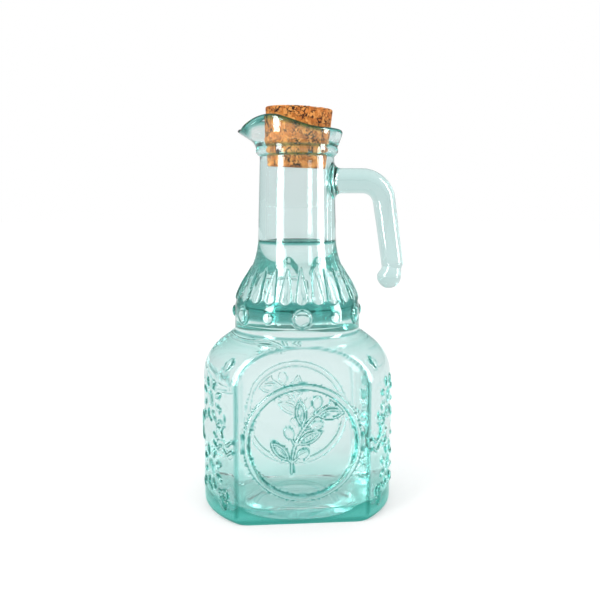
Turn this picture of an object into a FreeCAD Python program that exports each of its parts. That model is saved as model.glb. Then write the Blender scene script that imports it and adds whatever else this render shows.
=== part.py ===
import FreeCAD, Part
import Sketcher
import math
import os
from FreeCAD import Vector, Placement, Rotation

doc = FreeCAD.newDocument("OilBottle")

# Driving dimensions in millimetres. +Z is up, the axis of the neck is Z, the base stands on Z = 0.
# The spout points to -X, the handle to +X and the two flat panels face -Y and +Y.
sizes = {
    "bodyRadius": 44.7,
    "panelDistance": 33.5,
    "panelRound": 5.0,
    "heelRound": 2.6,
    "puntRise": 2.2,
    "puntRadius": 27.0,
    "puntTop": 19.0,
    "shoulderStart": 59.3,
    "shoulderArc": 20.9,
    "shoulderEndRadius": 37.3,
    "shoulderEndHeight": 76.3,
    "collarRadius": 29.7,
    "collarBottom": 82.1,
    "collarTop": 93.0,
    "flareRadius": 24.3,
    "flareHeight": 106.3,
    "flareArc": 50.0,
    "neckBaseRadius": 18.4,
    "neckBaseHeight": 125.8,
    "neckBaseArc": 37.0,
    "neckRadius": 17.4,
    "ringBottom": 163.4,
    "ringTop": 167.0,
    "ringTopRadius": 19.0,
    "ringArc": 2.6,
    "floorHeight": 6.8,
    "floorRadius": 34.1,
    "floorEdge": 5.6,
    "floorTop": 20.0,
    "cavityRadius": 41.1,
    "cavityCorner": 7.0,
    "cavityWallBottom": 12.6,
    "cavityPanel": 29.9,
    "cavityArc": 17.3,
    "cavityShoulderRadius": 35.0,
    "cavityShoulderHeight": 73.5,
    "cavityCollarRadius": 25.7,
    "cavityCollarBottom": 80.6,
    "cavityCollarTop": 92.2,
    "cavityFlareRadius": 20.4,
    "cavityFlareHeight": 105.3,
    "cavityNeckRadius": 14.8,
    "cavityNeckHeight": 124.8,
    "boreRadius": 14.6,
    "boreTop": 163.9,
    "liquidLevel": 123.0,
    "handleRod": 5.9,
    "handleRodEnd": 5.2,
    "handleRootDepth": 15.8,
    "handleHeight": 152.05,
    "handleBendStart": 31.0,
    "handleBend": 10.75,
    "handleEndOut": 46.0,
    "handleEndHeight": 110.9,
    "handleRootRound": 3.2,
    "handleDropOut": 44.4,
    "handleDropHeight": 106.5,
    "handleDropRadius": 5.75,
    "petalFootOut": 25.0,
    "petalFootHeight": 97.6,
    "petalFootRound": 4.1,
    "petalTipOut": 18.8,
    "petalTipHeight": 110.8,
    "petalTipRound": 3.1,
    "beadHeight": 90.8,
    "beadSeat": 27.6,
    "bigBeadTop": 95.3,
    "bigBeadEdge": 30.2,
    "bigBeadRimOut": 30.5,
    "bigBeadRimHeight": 95.0,
    "bigBeadStep": 94.4,
    "bigBeadCrown": 31.1,
    "bigBeadDome": 7.65,
    "smallBeadTop": 93.35,
    "smallBeadEdge": 29.8,
    "smallBeadCrown": 31.0,
    "smallBeadDome": 3.31,
    "medallionHeight": 36.8,
    "medallionBead": 1.54,
    "medallionOut": 32.76,
    "medallionTop": 61.75,
    "petalCount": 24,
    "beadCount": 6,
    "rimFootHeight": 166.9,
    "rimFootRadius": 18.7,
    "rimFootLip": 19.0,
    "rimLowHeight": 170.1,
    "rimLowRadius": 20.0,
    "rimLowLip": 20.9,
    "rimMidHeight": 172.7,
    "rimMidRadius": 20.9,
    "rimMidLip": 24.5,
    "rimHighHeight": 175.1,
    "rimHighRadius": 21.3,
    "rimHighLip": 27.3,
    "rimTopHeight": 184.0,
    "rimTopRadius": 21.5,
    "rimTopLip": 31.4,
    "mouthFootHeight": 163.4,
    "mouthFootRadius": 14.6,
    "mouthFootLip": 14.9,
    "mouthLowHeight": 167.5,
    "mouthLowRadius": 15.4,
    "mouthLowLip": 16.0,
    "mouthMidHeight": 171.7,
    "mouthMidRadius": 17.7,
    "mouthMidLip": 20.0,
    "mouthHighHeight": 175.1,
    "mouthHighRadius": 18.8,
    "mouthHighLip": 24.7,
    "mouthTopHeight": 185.0,
    "mouthTopRadius": 19.1,
    "mouthTopLip": 29.0,
    "waveTipHeight": 174.5,
    "waveTipOut": 27.4,
    "waveHump": 15.9,
    "waveFallOut": 9.0,
    "waveFallHeight": 179.9,
    "waveEaseOut": 0.5,
    "waveEaseHeight": 176.75,
    "waveEase": 30.8,
    "waveLevelOut": 10.0,
    "waveLevelHeight": 175.15,
    "flowerAngle": 65.0,
    "flowerHigh": 53.4,
    "flowerLow": 21.7,
    "flowerDome": 4.35,
    "flowerDomeSink": 3.15,
    "flowerPetalLong": 2.3,
    "flowerPetalWide": 1.15,
    "flowerPetalHigh": 0.9,
    "flowerPetalOut": 7.7,
    "flowerPetals": 8,
    "studLong": 2.75,
    "studWide": 2.0,
    "studHigh": 1.0,
    "studLean": 30.0,
    "studLowAngle": 52.0,
    "studLowHeight": 8.0,
    "studHighAngle": 50.0,
    "studHighHeight": 71.2,
    "corkLean": 2.4,
    "corkTip": 2.5,
    "corkLength": 27.5,
    "corkTopRadius": 15.65,
    "corkBottomRadius": 13.7,
    "corkTopHeight": 185.4,
    "corkChamfer": 0.8,
}

sheet = doc.addObject("Spreadsheet::Sheet", "Sizes")
for row, name in enumerate(sizes, 1):
    sheet.set("A%d" % row, name)
    sheet.set("B%d" % row, str(sizes[name]))
    sheet.setAlias("B%d" % row, name)
doc.recompute()


def size(name):
    """A named size, or zero for a point on an axis."""
    return sizes[name] if name else 0.0


def bind(sketch, index, name):
    sketch.setExpression("Constraints[%d]" % index, "Sizes." + name)


def newBody(label):
    body = doc.addObject("PartDesign::Body", label)
    body.AllowCompound = True
    return body


def newSketch(body, label, plane, shift=Vector(0, 0, 0), turn=Rotation()):
    sketch = body.newObject("Sketcher::SketchObject", label)
    origin = [item for item in body.Origin.OriginFeatures if item.Role == plane][0]
    sketch.AttachmentSupport = [(origin, "")]
    sketch.MapMode = "FlatFace"
    sketch.AttachmentOffset = Placement(shift, turn)
    return sketch


def pinPoint(sketch, geometry, end, across, up):
    """Holds one end of a curve at two named distances from the axes."""
    if across:
        value = size(across)
        index = sketch.addConstraint(Sketcher.Constraint("DistanceX", -1, 1, geometry, end, value))
        bind(sketch, index, across)
    else:
        sketch.addConstraint(Sketcher.Constraint("PointOnObject", geometry, end, -2))
    if up:
        value = size(up)
        index = sketch.addConstraint(Sketcher.Constraint("DistanceY", -1, 1, geometry, end, value))
        bind(sketch, index, up)
    else:
        sketch.addConstraint(Sketcher.Constraint("PointOnObject", geometry, end, -1))


def arcBetween(start, finish, radius, side):
    """Arc of a given radius between two points, bulging to the left (+1) or right (-1)."""
    chord = finish.sub(start)
    half = chord.Length / 2
    across = Vector(-chord.y, chord.x, 0).normalize()
    middle = start.add(finish).multiply(0.5)
    depth = math.sqrt(radius ** 2 - half ** 2)
    centre = middle.sub(across.multiply(side * depth))
    first, last = (finish, start) if side > 0 else (start, finish)
    begin = math.atan2(first.y - centre.y, first.x - centre.x)
    end = math.atan2(last.y - centre.y, last.x - centre.x)
    if end < begin:
        end += 2 * math.pi
    return Part.ArcOfCircle(Part.Circle(centre, Vector(0, 0, 1), radius), begin, end)


def drawOutline(sketch, stations):
    """Closed outline from stations (across, up, arc radius name, side of the arc to the next)."""
    points = [Vector(size(item[0]), size(item[1]), 0) for item in stations]
    count = len(stations)
    for index, (across, up, arcName, side) in enumerate(stations):
        start = points[index]
        finish = points[(index + 1) % count]
        if arcName:
            curve = arcBetween(start, finish, size(arcName), side)
        else:
            curve = Part.LineSegment(start, finish)
        sketch.addGeometry(curve, False)
    ends = [(2, 1) if item[3] > 0 else (1, 2) for item in stations]
    for index in range(count):
        following = (index + 1) % count
        sketch.addConstraint(
            Sketcher.Constraint("Coincident", index, ends[index][1], following, ends[following][0]))
    for index, (across, up, arcName, side) in enumerate(stations):
        pinPoint(sketch, index, ends[index][0], across, up)
        if arcName:
            radius = sketch.addConstraint(Sketcher.Constraint("Radius", index, size(arcName)))
            bind(sketch, radius, arcName)


def revolve(body, label, sketch, axis="V_Axis"):
    turned = body.newObject("PartDesign::Revolution", label)
    turned.Profile = sketch
    turned.ReferenceAxis = (sketch, [axis])
    turned.Angle = 360.0
    body.Tip = turned
    sketch.Visibility = False
    return turned


def rectangle(sketch, left, low, right, high):
    first = sketch.GeometryCount
    corners = [Vector(left, low, 0), Vector(right, low, 0), Vector(right, high, 0), Vector(left, high, 0)]
    for index in range(4):
        sketch.addGeometry(Part.LineSegment(corners[index], corners[(index + 1) % 4]), False)
    for index in range(4):
        following = first + (index + 1) % 4
        sketch.addConstraint(Sketcher.Constraint("Coincident", first + index, 2, following, 1))
    for index, kind in enumerate(("Horizontal", "Vertical", "Horizontal", "Vertical")):
        sketch.addConstraint(Sketcher.Constraint(kind, first + index))
    return first


def cutPanels(body, label, distanceName):
    """Takes the round body back to two parallel flats, front and back."""
    sketch = newSketch(body, label + "Outline", "XY_Plane")
    reach = 70.0
    distance = size(distanceName)
    front = rectangle(sketch, -reach, -reach, reach, -distance)
    back = rectangle(sketch, -reach, distance, reach, reach)
    low = sketch.addConstraint(Sketcher.Constraint("DistanceY", front + 2, 1, -1, 1, distance))
    bind(sketch, low, distanceName)
    high = sketch.addConstraint(Sketcher.Constraint("DistanceY", -1, 1, back, 1, distance))
    bind(sketch, high, distanceName)
    pocket = body.newObject("PartDesign::Pocket", label)
    pocket.Profile = sketch
    pocket.Type = "ThroughAll"
    pocket.Reversed = True
    body.Tip = pocket
    sketch.Visibility = False
    doc.recompute()
    return pocket


def edgesWhere(shape, test):
    return ["Edge%d" % (index + 1) for index, edge in enumerate(shape.Edges) if test(edge)]


def roundEdges(body, label, feature, names, radiusName):
    fillet = body.newObject("PartDesign::Fillet", label)
    fillet.Base = (feature, names)
    fillet.setExpression("Radius", "Sizes." + radiusName)
    body.Tip = fillet
    doc.recompute()
    return fillet


def onPanel(edge, distance):
    box = edge.BoundBox
    flat = box.YLength < 0.01 and abs(abs(box.YMin) - distance) < 0.01
    return flat and box.ZMax > 1.0


def onFoot(edge):
    box = edge.BoundBox
    radius = max(abs(box.YMin), abs(box.YMax), abs(box.XMin), abs(box.XMax))
    return box.ZMax < 0.01 and radius > sizes["puntRadius"] + 1.0


# Outside of the bottle: a turned form with two flats.
outer = newBody("bottleOutside")
outerSketch = newSketch(outer, "outsideProfile", "XZ_Plane")
drawOutline(outerSketch, [
    ("", "puntRise", "", 0),
    ("puntTop", "puntRise", "", 0),
    ("puntRadius", "", "", 0),
    ("bodyRadius", "", "", 0),
    ("bodyRadius", "shoulderStart", "shoulderArc", -1),
    ("shoulderEndRadius", "shoulderEndHeight", "", 0),
    ("collarRadius", "collarBottom", "", 0),
    ("collarRadius", "collarTop", "flareArc", -1),
    ("flareRadius", "flareHeight", "neckBaseArc", 1),
    ("neckBaseRadius", "neckBaseHeight", "", 0),
    ("neckRadius", "ringBottom", "ringArc", -1),
    ("ringTopRadius", "ringTop", "", 0),
    ("", "ringTop", "", 0),
])
outerTurn = revolve(outer, "outsideTurn", outerSketch)
doc.recompute()
outerPanels = cutPanels(outer, "panels", "panelDistance")
panelEdges = edgesWhere(outerPanels.Shape, lambda edge: onPanel(edge, sizes["panelDistance"]))
outerSoft = roundEdges(outer, "panelRounding", outerPanels, panelEdges, "panelRound")
footEdges = edgesWhere(outerSoft.Shape, onFoot)
outerHeel = roundEdges(outer, "heelRounding", outerSoft, footEdges, "heelRound")


def pattern(body, label, feature, countName):
    """Repeats a feature round the axis of the bottle."""
    polar = body.newObject("PartDesign::PolarPattern", label)
    polar.Originals = [feature]
    origin = [item for item in body.Origin.OriginFeatures if item.Role == "Z_Axis"][0]
    polar.Axis = (origin, [""])
    polar.Angle = 360.0
    polar.setExpression("Occurrences", "Sizes." + countName)
    body.Tip = polar
    doc.recompute()
    return polar


# Petals round the flare: teardrops of revolution laid along it, sunk so that only a low rise shows.
petalSketch = newSketch(outer, "petalProfile", "XZ_Plane")
foot = Vector(sizes["petalFootOut"], sizes["petalFootHeight"], 0)
tip = Vector(sizes["petalTipOut"], sizes["petalTipHeight"], 0)
along = tip.sub(foot).normalize()
aside = Vector(along.y, -along.x, 0)
footRound = sizes["petalFootRound"]
footStart = foot.sub(Vector(along).multiply(footRound))
footSide = foot.add(Vector(aside).multiply(footRound))
tipSide = tip.add(Vector(aside).multiply(sizes["petalTipRound"]))
sideAngle = math.atan2(aside.y, aside.x)
footCircle = Part.Circle(foot, Vector(0, 0, 1), footRound)
petalSketch.addGeometry(Part.ArcOfCircle(footCircle, sideAngle - math.pi / 2, sideAngle), False)
petalSketch.addGeometry(Part.LineSegment(footSide, tipSide), False)
petalSketch.addGeometry(Part.LineSegment(tipSide, tip), False)
petalSketch.addGeometry(Part.LineSegment(tip, footStart), False)
petalSketch.addGeometry(Part.LineSegment(foot, tip), True)
petalSketch.addConstraint(Sketcher.Constraint("Coincident", 0, 2, 1, 1))
petalSketch.addConstraint(Sketcher.Constraint("Coincident", 1, 2, 2, 1))
petalSketch.addConstraint(Sketcher.Constraint("Coincident", 2, 2, 3, 1))
petalSketch.addConstraint(Sketcher.Constraint("Coincident", 3, 2, 0, 1))
petalSketch.addConstraint(Sketcher.Constraint("Coincident", 0, 3, 4, 1))
petalSketch.addConstraint(Sketcher.Constraint("Coincident", 3, 1, 4, 2))
pinPoint(petalSketch, 4, 1, "petalFootOut", "petalFootHeight")
pinPoint(petalSketch, 4, 2, "petalTipOut", "petalTipHeight")
petalSketch.addConstraint(Sketcher.Constraint("Perpendicular", 2, 4))
petalSketch.addConstraint(Sketcher.Constraint("Parallel", 3, 4))
bind(petalSketch, petalSketch.addConstraint(Sketcher.Constraint("Radius", 0, footRound)), "petalFootRound")
tipSize = petalSketch.addConstraint(Sketcher.Constraint("Distance", 2, sizes["petalTipRound"]))
bind(petalSketch, tipSize, "petalTipRound")
petal = revolve(outer, "petal", petalSketch, "Axis0")
doc.recompute()
petals = pattern(outer, "petals", petal, "petalCount")


# Beads round the collar: a large one with a rim and a dome, then a small plain dome, in turn.
def bead(label, plane, stations):
    sketch = newSketch(outer, label + "Profile", plane)
    drawOutline(sketch, stations)
    axis = sketch.addGeometry(Part.LineSegment(Vector(0, sizes["beadHeight"], 0),
                                               Vector(sizes["beadSeat"], sizes["beadHeight"], 0)), True)
    sketch.addConstraint(Sketcher.Constraint("Coincident", axis, 2, 0, 1))
    sketch.addConstraint(Sketcher.Constraint("Horizontal", axis))
    turned = revolve(outer, label, sketch, "Axis0")
    doc.recompute()
    return pattern(outer, label + "s", turned, "beadCount")


bigBeads = bead("bigBead", "YZ_Plane", [
    ("beadSeat", "beadHeight", "", 0),
    ("beadSeat", "bigBeadTop", "", 0),
    ("bigBeadEdge", "bigBeadTop", "", 0),
    ("bigBeadRimOut", "bigBeadRimHeight", "", 0),
    ("bigBeadEdge", "bigBeadStep", "bigBeadDome", 1),
    ("bigBeadCrown", "beadHeight", "", 0),
])
smallBeads = bead("smallBead", "XZ_Plane", [
    ("beadSeat", "beadHeight", "", 0),
    ("beadSeat", "smallBeadTop", "", 0),
    ("smallBeadEdge", "smallBeadTop", "smallBeadDome", 1),
    ("smallBeadCrown", "beadHeight", "", 0),
])

# Medallion ring: a half-sunk bead on each flat.
ringSketch = newSketch(outer, "medallionProfile", "YZ_Plane")
ringCentre = Vector(sizes["medallionOut"], sizes["medallionTop"], 0)
ringSketch.addGeometry(Part.Circle(ringCentre, Vector(0, 0, 1), sizes["medallionBead"]), False)
axisStart = Vector(0, sizes["medallionHeight"], 0)
axisEnd = Vector(sizes["medallionOut"], sizes["medallionHeight"], 0)
ringSketch.addGeometry(Part.LineSegment(axisStart, axisEnd), True)
pinPoint(ringSketch, 0, 3, "medallionOut", "medallionTop")
pinPoint(ringSketch, 1, 2, "medallionOut", "medallionHeight")
ringSketch.addConstraint(Sketcher.Constraint("PointOnObject", 1, 1, -2))
ringSketch.addConstraint(Sketcher.Constraint("Horizontal", 1))
beadSize = ringSketch.addConstraint(Sketcher.Constraint("Radius", 0, sizes["medallionBead"]))
bind(ringSketch, beadSize, "medallionBead")
ring = revolve(outer, "medallionRing", ringSketch, "Axis0")
doc.recompute()
bothRings = outer.newObject("PartDesign::Mirrored", "medallionRings")
bothRings.Originals = [ring]
bothRings.MirrorPlane = ([item for item in outer.Origin.OriginFeatures if item.Role == "XZ_Plane"][0], [""])
outer.Tip = bothRings
doc.recompute()


# Rim: sections with a round back and a lip drawn out to -X, joined by a loft.
def lipSection(body, label, level):
    """A circle joined by tangents to a smaller one; the tangents leave it at a 3:4:5 slope."""
    height = sizes[level + "Height"]
    radius = sizes[level + "Radius"]
    lip = sizes[level + "Lip"]
    tipRadius = (radius - 0.6 * lip) / 0.4
    tipCentre = Vector(tipRadius - lip, 0, 0)
    sketch = newSketch(body, label, "XY_Plane", Vector(0, 0, height))
    sketch.setExpression("AttachmentOffset.Base.z", "Sizes." + level + "Height")
    half = math.atan2(0.8, -0.6)
    mainCircle = Part.Circle(Vector(0, 0, 0), Vector(0, 0, 1), radius)
    tipCircle = Part.Circle(tipCentre, Vector(0, 0, 1), tipRadius)
    mainTop = Vector(-0.6 * radius, 0.8 * radius, 0)
    mainLow = Vector(-0.6 * radius, -0.8 * radius, 0)
    tipTop = tipCentre.add(Vector(-0.6 * tipRadius, 0.8 * tipRadius, 0))
    tipLow = tipCentre.add(Vector(-0.6 * tipRadius, -0.8 * tipRadius, 0))
    sketch.addGeometry(Part.ArcOfCircle(mainCircle, -half, half), False)
    sketch.addGeometry(Part.LineSegment(mainTop, tipTop), False)
    sketch.addGeometry(Part.ArcOfCircle(tipCircle, half, 2 * math.pi - half), False)
    sketch.addGeometry(Part.LineSegment(tipLow, mainLow), False)
    sketch.addConstraint(Sketcher.Constraint("Coincident", 0, 3, -1, 1))
    sketch.addConstraint(Sketcher.Constraint("PointOnObject", 2, 3, -1))
    for index in range(4):
        sketch.addConstraint(Sketcher.Constraint("Tangent", index, 2, (index + 1) % 4, 1))
    main = sketch.addConstraint(Sketcher.Constraint("Radius", 0, radius))
    bind(sketch, main, level + "Radius")
    tipSize = sketch.addConstraint(Sketcher.Constraint("Radius", 2, tipRadius))
    tipRule = "(Sizes.%sRadius - 0.6 * Sizes.%sLip) / 0.4" % (level, level)
    sketch.setExpression("Constraints[%d]" % tipSize, tipRule)
    reach = sketch.addConstraint(Sketcher.Constraint("DistanceX", 2, 3, -1, 1, lip - tipRadius))
    sketch.setExpression("Constraints[%d]" % reach, "Sizes.%sLip - %s" % (level, tipRule))
    return sketch


def lipLoft(body, label, levels):
    sections = [lipSection(body, label + "Section%d" % index, level) for index, level in enumerate(levels)]
    doc.recompute()
    loft = body.newObject("PartDesign::AdditiveLoft", label)
    loft.Profile = sections[0]
    loft.Sections = sections[1:]
    loft.Ruled = False
    body.Tip = loft
    for sketch in sections:
        sketch.Visibility = False
    doc.recompute()
    return loft


rim = newBody("rimOutside")
rimLoft = lipLoft(rim, "rimLoft", ["rimFoot", "rimLow", "rimMid", "rimHigh", "rimTop"])

# The rim rises to a hump on each side of the lip and dips to its tip.
waveSketch = newSketch(rim, "rimWave", "XZ_Plane")
outlineReach = 60.0
outlineTop = 195.0
tipPoint = Vector(-sizes["waveTipOut"], sizes["waveTipHeight"], 0)
fallPoint = Vector(-sizes["waveFallOut"], sizes["waveFallHeight"], 0)
easePoint = Vector(sizes["waveEaseOut"], sizes["waveEaseHeight"], 0)
levelPoint = Vector(sizes["waveLevelOut"], sizes["waveLevelHeight"], 0)
rightLow = Vector(outlineReach, sizes["waveLevelHeight"], 0)
rightHigh = Vector(outlineReach, outlineTop, 0)
leftHigh = Vector(-outlineReach, outlineTop, 0)
leftLow = Vector(-outlineReach, sizes["waveTipHeight"], 0)
waveSketch.addGeometry(arcBetween(tipPoint, fallPoint, sizes["waveHump"], 1), False)
waveSketch.addGeometry(Part.LineSegment(fallPoint, easePoint), False)
waveSketch.addGeometry(arcBetween(easePoint, levelPoint, sizes["waveEase"], -1), False)
waveSketch.addGeometry(Part.LineSegment(levelPoint, rightLow), False)
waveSketch.addGeometry(Part.LineSegment(rightLow, rightHigh), False)
waveSketch.addGeometry(Part.LineSegment(rightHigh, leftHigh), False)
waveSketch.addGeometry(Part.LineSegment(leftHigh, leftLow), False)
waveSketch.addGeometry(Part.LineSegment(leftLow, tipPoint), False)
waveEnds = [(2, 1), (1, 2), (1, 2), (1, 2), (1, 2), (1, 2), (1, 2), (1, 2)]
for index in range(8):
    following = (index + 1) % 8
    waveSketch.addConstraint(
        Sketcher.Constraint("Coincident", index, waveEnds[index][1], following, waveEnds[following][0]))
hump = waveSketch.addConstraint(Sketcher.Constraint("Radius", 0, sizes["waveHump"]))
bind(waveSketch, hump, "waveHump")
ease = waveSketch.addConstraint(Sketcher.Constraint("Radius", 2, sizes["waveEase"]))
bind(waveSketch, ease, "waveEase")
risingEnds = ((1, 2, "waveEaseOut", "waveEaseHeight"), (2, 2, "waveLevelOut", "waveLevelHeight"))
for geometry, end, across, up in risingEnds:
    pinPoint(waveSketch, geometry, end, across, up)
humpEnds = ((0, 2, "waveTipOut", "waveTipHeight"), (0, 1, "waveFallOut", "waveFallHeight"))
for geometry, end, across, up in humpEnds:
    left = waveSketch.addConstraint(Sketcher.Constraint("DistanceX", geometry, end, -1, 1, sizes[across]))
    bind(waveSketch, left, across)
    height = waveSketch.addConstraint(Sketcher.Constraint("DistanceY", -1, 1, geometry, end, sizes[up]))
    bind(waveSketch, height, up)
straightSides = ("Horizontal", "Vertical", "Horizontal", "Vertical", "Horizontal")
for geometry, kind in enumerate(straightSides, 3):
    waveSketch.addConstraint(Sketcher.Constraint(kind, geometry))
wavePocket = rim.newObject("PartDesign::Pocket", "rimWaveCut")
wavePocket.Profile = waveSketch
wavePocket.SideType = "Symmetric"
wavePocket.Length = 140.0
rim.Tip = wavePocket
waveSketch.Visibility = False
doc.recompute()

# Hollow of the bottle: what is taken out of the glass.
hollow = newBody("bottleHollow")
hollowSketch = newSketch(hollow, "hollowProfile", "XZ_Plane")
drawOutline(hollowSketch, [
    ("", "floorHeight", "", 0),
    ("floorTop", "floorHeight", "", 0),
    ("floorRadius", "floorEdge", "cavityCorner", -1),
    ("cavityRadius", "cavityWallBottom", "", 0),
    ("cavityRadius", "shoulderStart", "cavityArc", -1),
    ("cavityShoulderRadius", "cavityShoulderHeight", "", 0),
    ("cavityCollarRadius", "cavityCollarBottom", "", 0),
    ("cavityCollarRadius", "cavityCollarTop", "flareArc", -1),
    ("cavityFlareRadius", "cavityFlareHeight", "neckBaseArc", 1),
    ("cavityNeckRadius", "cavityNeckHeight", "", 0),
    ("boreRadius", "boreTop", "", 0),
    ("", "boreTop", "", 0),
])
hollowTurn = revolve(hollow, "hollowTurn", hollowSketch)
doc.recompute()
hollowPanels = cutPanels(hollow, "hollowPanels", "cavityPanel")
mouthLoft = lipLoft(hollow, "mouthLoft", ["mouthFoot", "mouthLow", "mouthMid", "mouthHigh", "mouthTop"])

# Handle: a rod drawn out of the neck, bent down and ending in a drop that hangs free.
handle = newBody("handle")
pathSketch = newSketch(handle, "handlePath", "XZ_Plane")
rootPoint = Vector(sizes["handleRootDepth"], sizes["handleHeight"], 0)
bendPoint = Vector(sizes["handleBendStart"], sizes["handleHeight"], 0)
bendCentre = Vector(sizes["handleBendStart"], sizes["handleHeight"] - sizes["handleBend"], 0)
endPoint = Vector(sizes["handleEndOut"], sizes["handleEndHeight"], 0)
toEnd = endPoint.sub(bendCentre)
tangentAngle = math.atan2(toEnd.y, toEnd.x) + math.acos(sizes["handleBend"] / toEnd.Length)
toBendEnd = Vector(math.cos(tangentAngle), math.sin(tangentAngle), 0)
bendEnd = bendCentre.add(toBendEnd.multiply(sizes["handleBend"]))
bendCircle = Part.Circle(bendCentre, Vector(0, 0, 1), sizes["handleBend"])
pathSketch.addGeometry(Part.LineSegment(rootPoint, bendPoint), False)
pathSketch.addGeometry(Part.ArcOfCircle(bendCircle, tangentAngle, math.pi / 2), False)
pathSketch.addGeometry(Part.LineSegment(bendEnd, endPoint), False)
pathSketch.addConstraint(Sketcher.Constraint("Tangent", 0, 2, 1, 2))
pathSketch.addConstraint(Sketcher.Constraint("Tangent", 1, 1, 2, 1))
pathSketch.addConstraint(Sketcher.Constraint("Horizontal", 0))
pinPoint(pathSketch, 0, 1, "handleRootDepth", "handleHeight")
pinPoint(pathSketch, 2, 2, "handleEndOut", "handleEndHeight")
bend = pathSketch.addConstraint(Sketcher.Constraint("Radius", 1, sizes["handleBend"]))
bind(pathSketch, bend, "handleBend")
bendStart = pathSketch.addConstraint(
    Sketcher.Constraint("DistanceX", -1, 1, 0, 2, sizes["handleBendStart"]))
bind(pathSketch, bendStart, "handleBendStart")


def rodSection(label, plane, shift, turn, radiusName):
    sketch = newSketch(handle, label, plane, shift, turn)
    sketch.addGeometry(Part.Circle(Vector(0, 0, 0), Vector(0, 0, 1), sizes[radiusName]), False)
    sketch.addConstraint(Sketcher.Constraint("Coincident", 0, 3, -1, 1))
    index = sketch.addConstraint(Sketcher.Constraint("Radius", 0, sizes[radiusName]))
    bind(sketch, index, radiusName)
    sketch.Visibility = False
    return sketch


rootShift = Vector(0, sizes["handleHeight"], sizes["handleRootDepth"])
rootSection = rodSection("handleRootSection", "YZ_Plane", rootShift, Rotation(), "handleRod")
downAngle = math.degrees(math.atan2(endPoint.x - bendEnd.x, bendEnd.y - endPoint.y))
endSection = rodSection("handleEndSection", "XY_Plane",
                        Vector(sizes["handleEndOut"], 0, sizes["handleEndHeight"]),
                        Rotation(Vector(0, 1, 0), 180 - downAngle), "handleRodEnd")
doc.recompute()
rod = handle.newObject("PartDesign::AdditivePipe", "handleRod")
rod.Profile = rootSection
rod.Spine = (pathSketch, ["Edge1", "Edge2", "Edge3"])
rod.Transformation = "Multisection"
rod.Sections = [endSection]
handle.Tip = rod
doc.recompute()
drop = doc.addObject("Part::Sphere", "handleDrop")
drop.setExpression("Radius", "Sizes.handleDropRadius")
drop.setExpression("Placement.Base.x", "Sizes.handleDropOut")
drop.setExpression("Placement.Base.z", "Sizes.handleDropHeight")
knuckle = doc.addObject("Part::Sphere", "handleKnuckle")
knuckle.setExpression("Radius", "Sizes.handleRodEnd")
knuckle.setExpression("Placement.Base.x", "Sizes.handleEndOut")
knuckle.setExpression("Placement.Base.z", "Sizes.handleEndHeight")
doc.recompute()


# Raised ornament on the round sides: flowers of a dome and eight petals, and oval studs.
def sidePoint(angle, radius, height):
    """Point at an angle from the front, towards +X."""
    turn = math.radians(angle)
    return Vector(radius * math.sin(turn), -radius * math.cos(turn), height)


def oval(label, place, outward, longWay, sizesNames):
    item = doc.addObject("Part::Ellipsoid", label)
    item.setExpression("Radius2", "Sizes." + sizesNames[0])
    item.setExpression("Radius3", "Sizes." + sizesNames[1])
    item.setExpression("Radius1", "Sizes." + sizesNames[2])
    item.Angle1 = -90.0
    item.Angle2 = 90.0
    item.Angle3 = 360.0
    item.Placement = Placement(place, Rotation(longWay, outward.cross(longWay), outward, "ZXY"))
    return item


def flower(label, angle, height):
    parts = []
    outward = sidePoint(angle, 1.0, 0.0)
    dome = doc.addObject("Part::Sphere", label + "Dome")
    dome.setExpression("Radius", "Sizes.flowerDome")
    dome.Placement.Base = sidePoint(angle, sizes["bodyRadius"] - sizes["flowerDomeSink"], height)
    parts.append(dome)
    count = int(sizes["flowerPetals"])
    for index in range(count):
        turn = 2 * math.pi * (index + 0.5) / count
        spread = sizes["flowerPetalOut"] * math.cos(turn)
        petalAngle = angle + math.degrees(spread / sizes["bodyRadius"])
        petalHeight = height + sizes["flowerPetalOut"] * math.sin(turn)
        place = sidePoint(petalAngle, sizes["bodyRadius"], petalHeight)
        outward = sidePoint(petalAngle, 1.0, 0.0)
        around = sidePoint(petalAngle + 90.0, 1.0, 0.0)
        longWay = Vector(around).multiply(math.cos(turn)).add(Vector(0, 0, math.sin(turn)))
        names = ("flowerPetalLong", "flowerPetalWide", "flowerPetalHigh")
        parts.append(oval("%sPetal%d" % (label, index), place, outward, longWay, names))
    return parts


def stud(label, angle, height, lean):
    """Oval stud on the straight side, or on the shoulder's round where it is higher."""
    rise = max(0.0, height - sizes["shoulderStart"])
    slope = math.asin(rise / sizes["shoulderArc"])
    radius = sizes["bodyRadius"] - sizes["shoulderArc"] * (1 - math.cos(slope))
    outward = sidePoint(angle, math.cos(slope), math.sin(slope))
    around = sidePoint(angle + 90.0, 1.0, 0.0)
    upWay = outward.cross(around).multiply(-1)
    turn = math.radians(lean)
    longWay = Vector(around).multiply(math.sin(turn)).add(Vector(upWay).multiply(math.cos(turn)))
    place = sidePoint(angle, radius, height)
    return oval(label, place, outward, longWay, ("studLong", "studWide", "studHigh"))


ornament = []
for quarter in range(4):
    half = 0.0 if quarter < 2 else 180.0
    side = 1 if quarter % 2 == 0 else -1
    name = "side%d" % quarter
    ornament += flower(name + "HighFlower", half + side * sizes["flowerAngle"], sizes["flowerHigh"])
    ornament += flower(name + "LowFlower", half + side * sizes["flowerAngle"], sizes["flowerLow"])
    highAngle = half + side * sizes["studHighAngle"]
    lowAngle = half + side * sizes["studLowAngle"]
    ornament.append(stud(name + "HighStud", highAngle, sizes["studHighHeight"], -sizes["studLean"] * side))
    ornament.append(stud(name + "LowStud", lowAngle, sizes["studLowHeight"], sizes["studLean"] * side))
doc.recompute()

# Glass: everything solid joined, the handle's root rounded into the neck, then the hollow taken out.
joined = doc.addObject("Part::MultiFuse", "glassJoined")
joined.Shapes = [outer, rim, handle, knuckle, drop]
doc.recompute()


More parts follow.
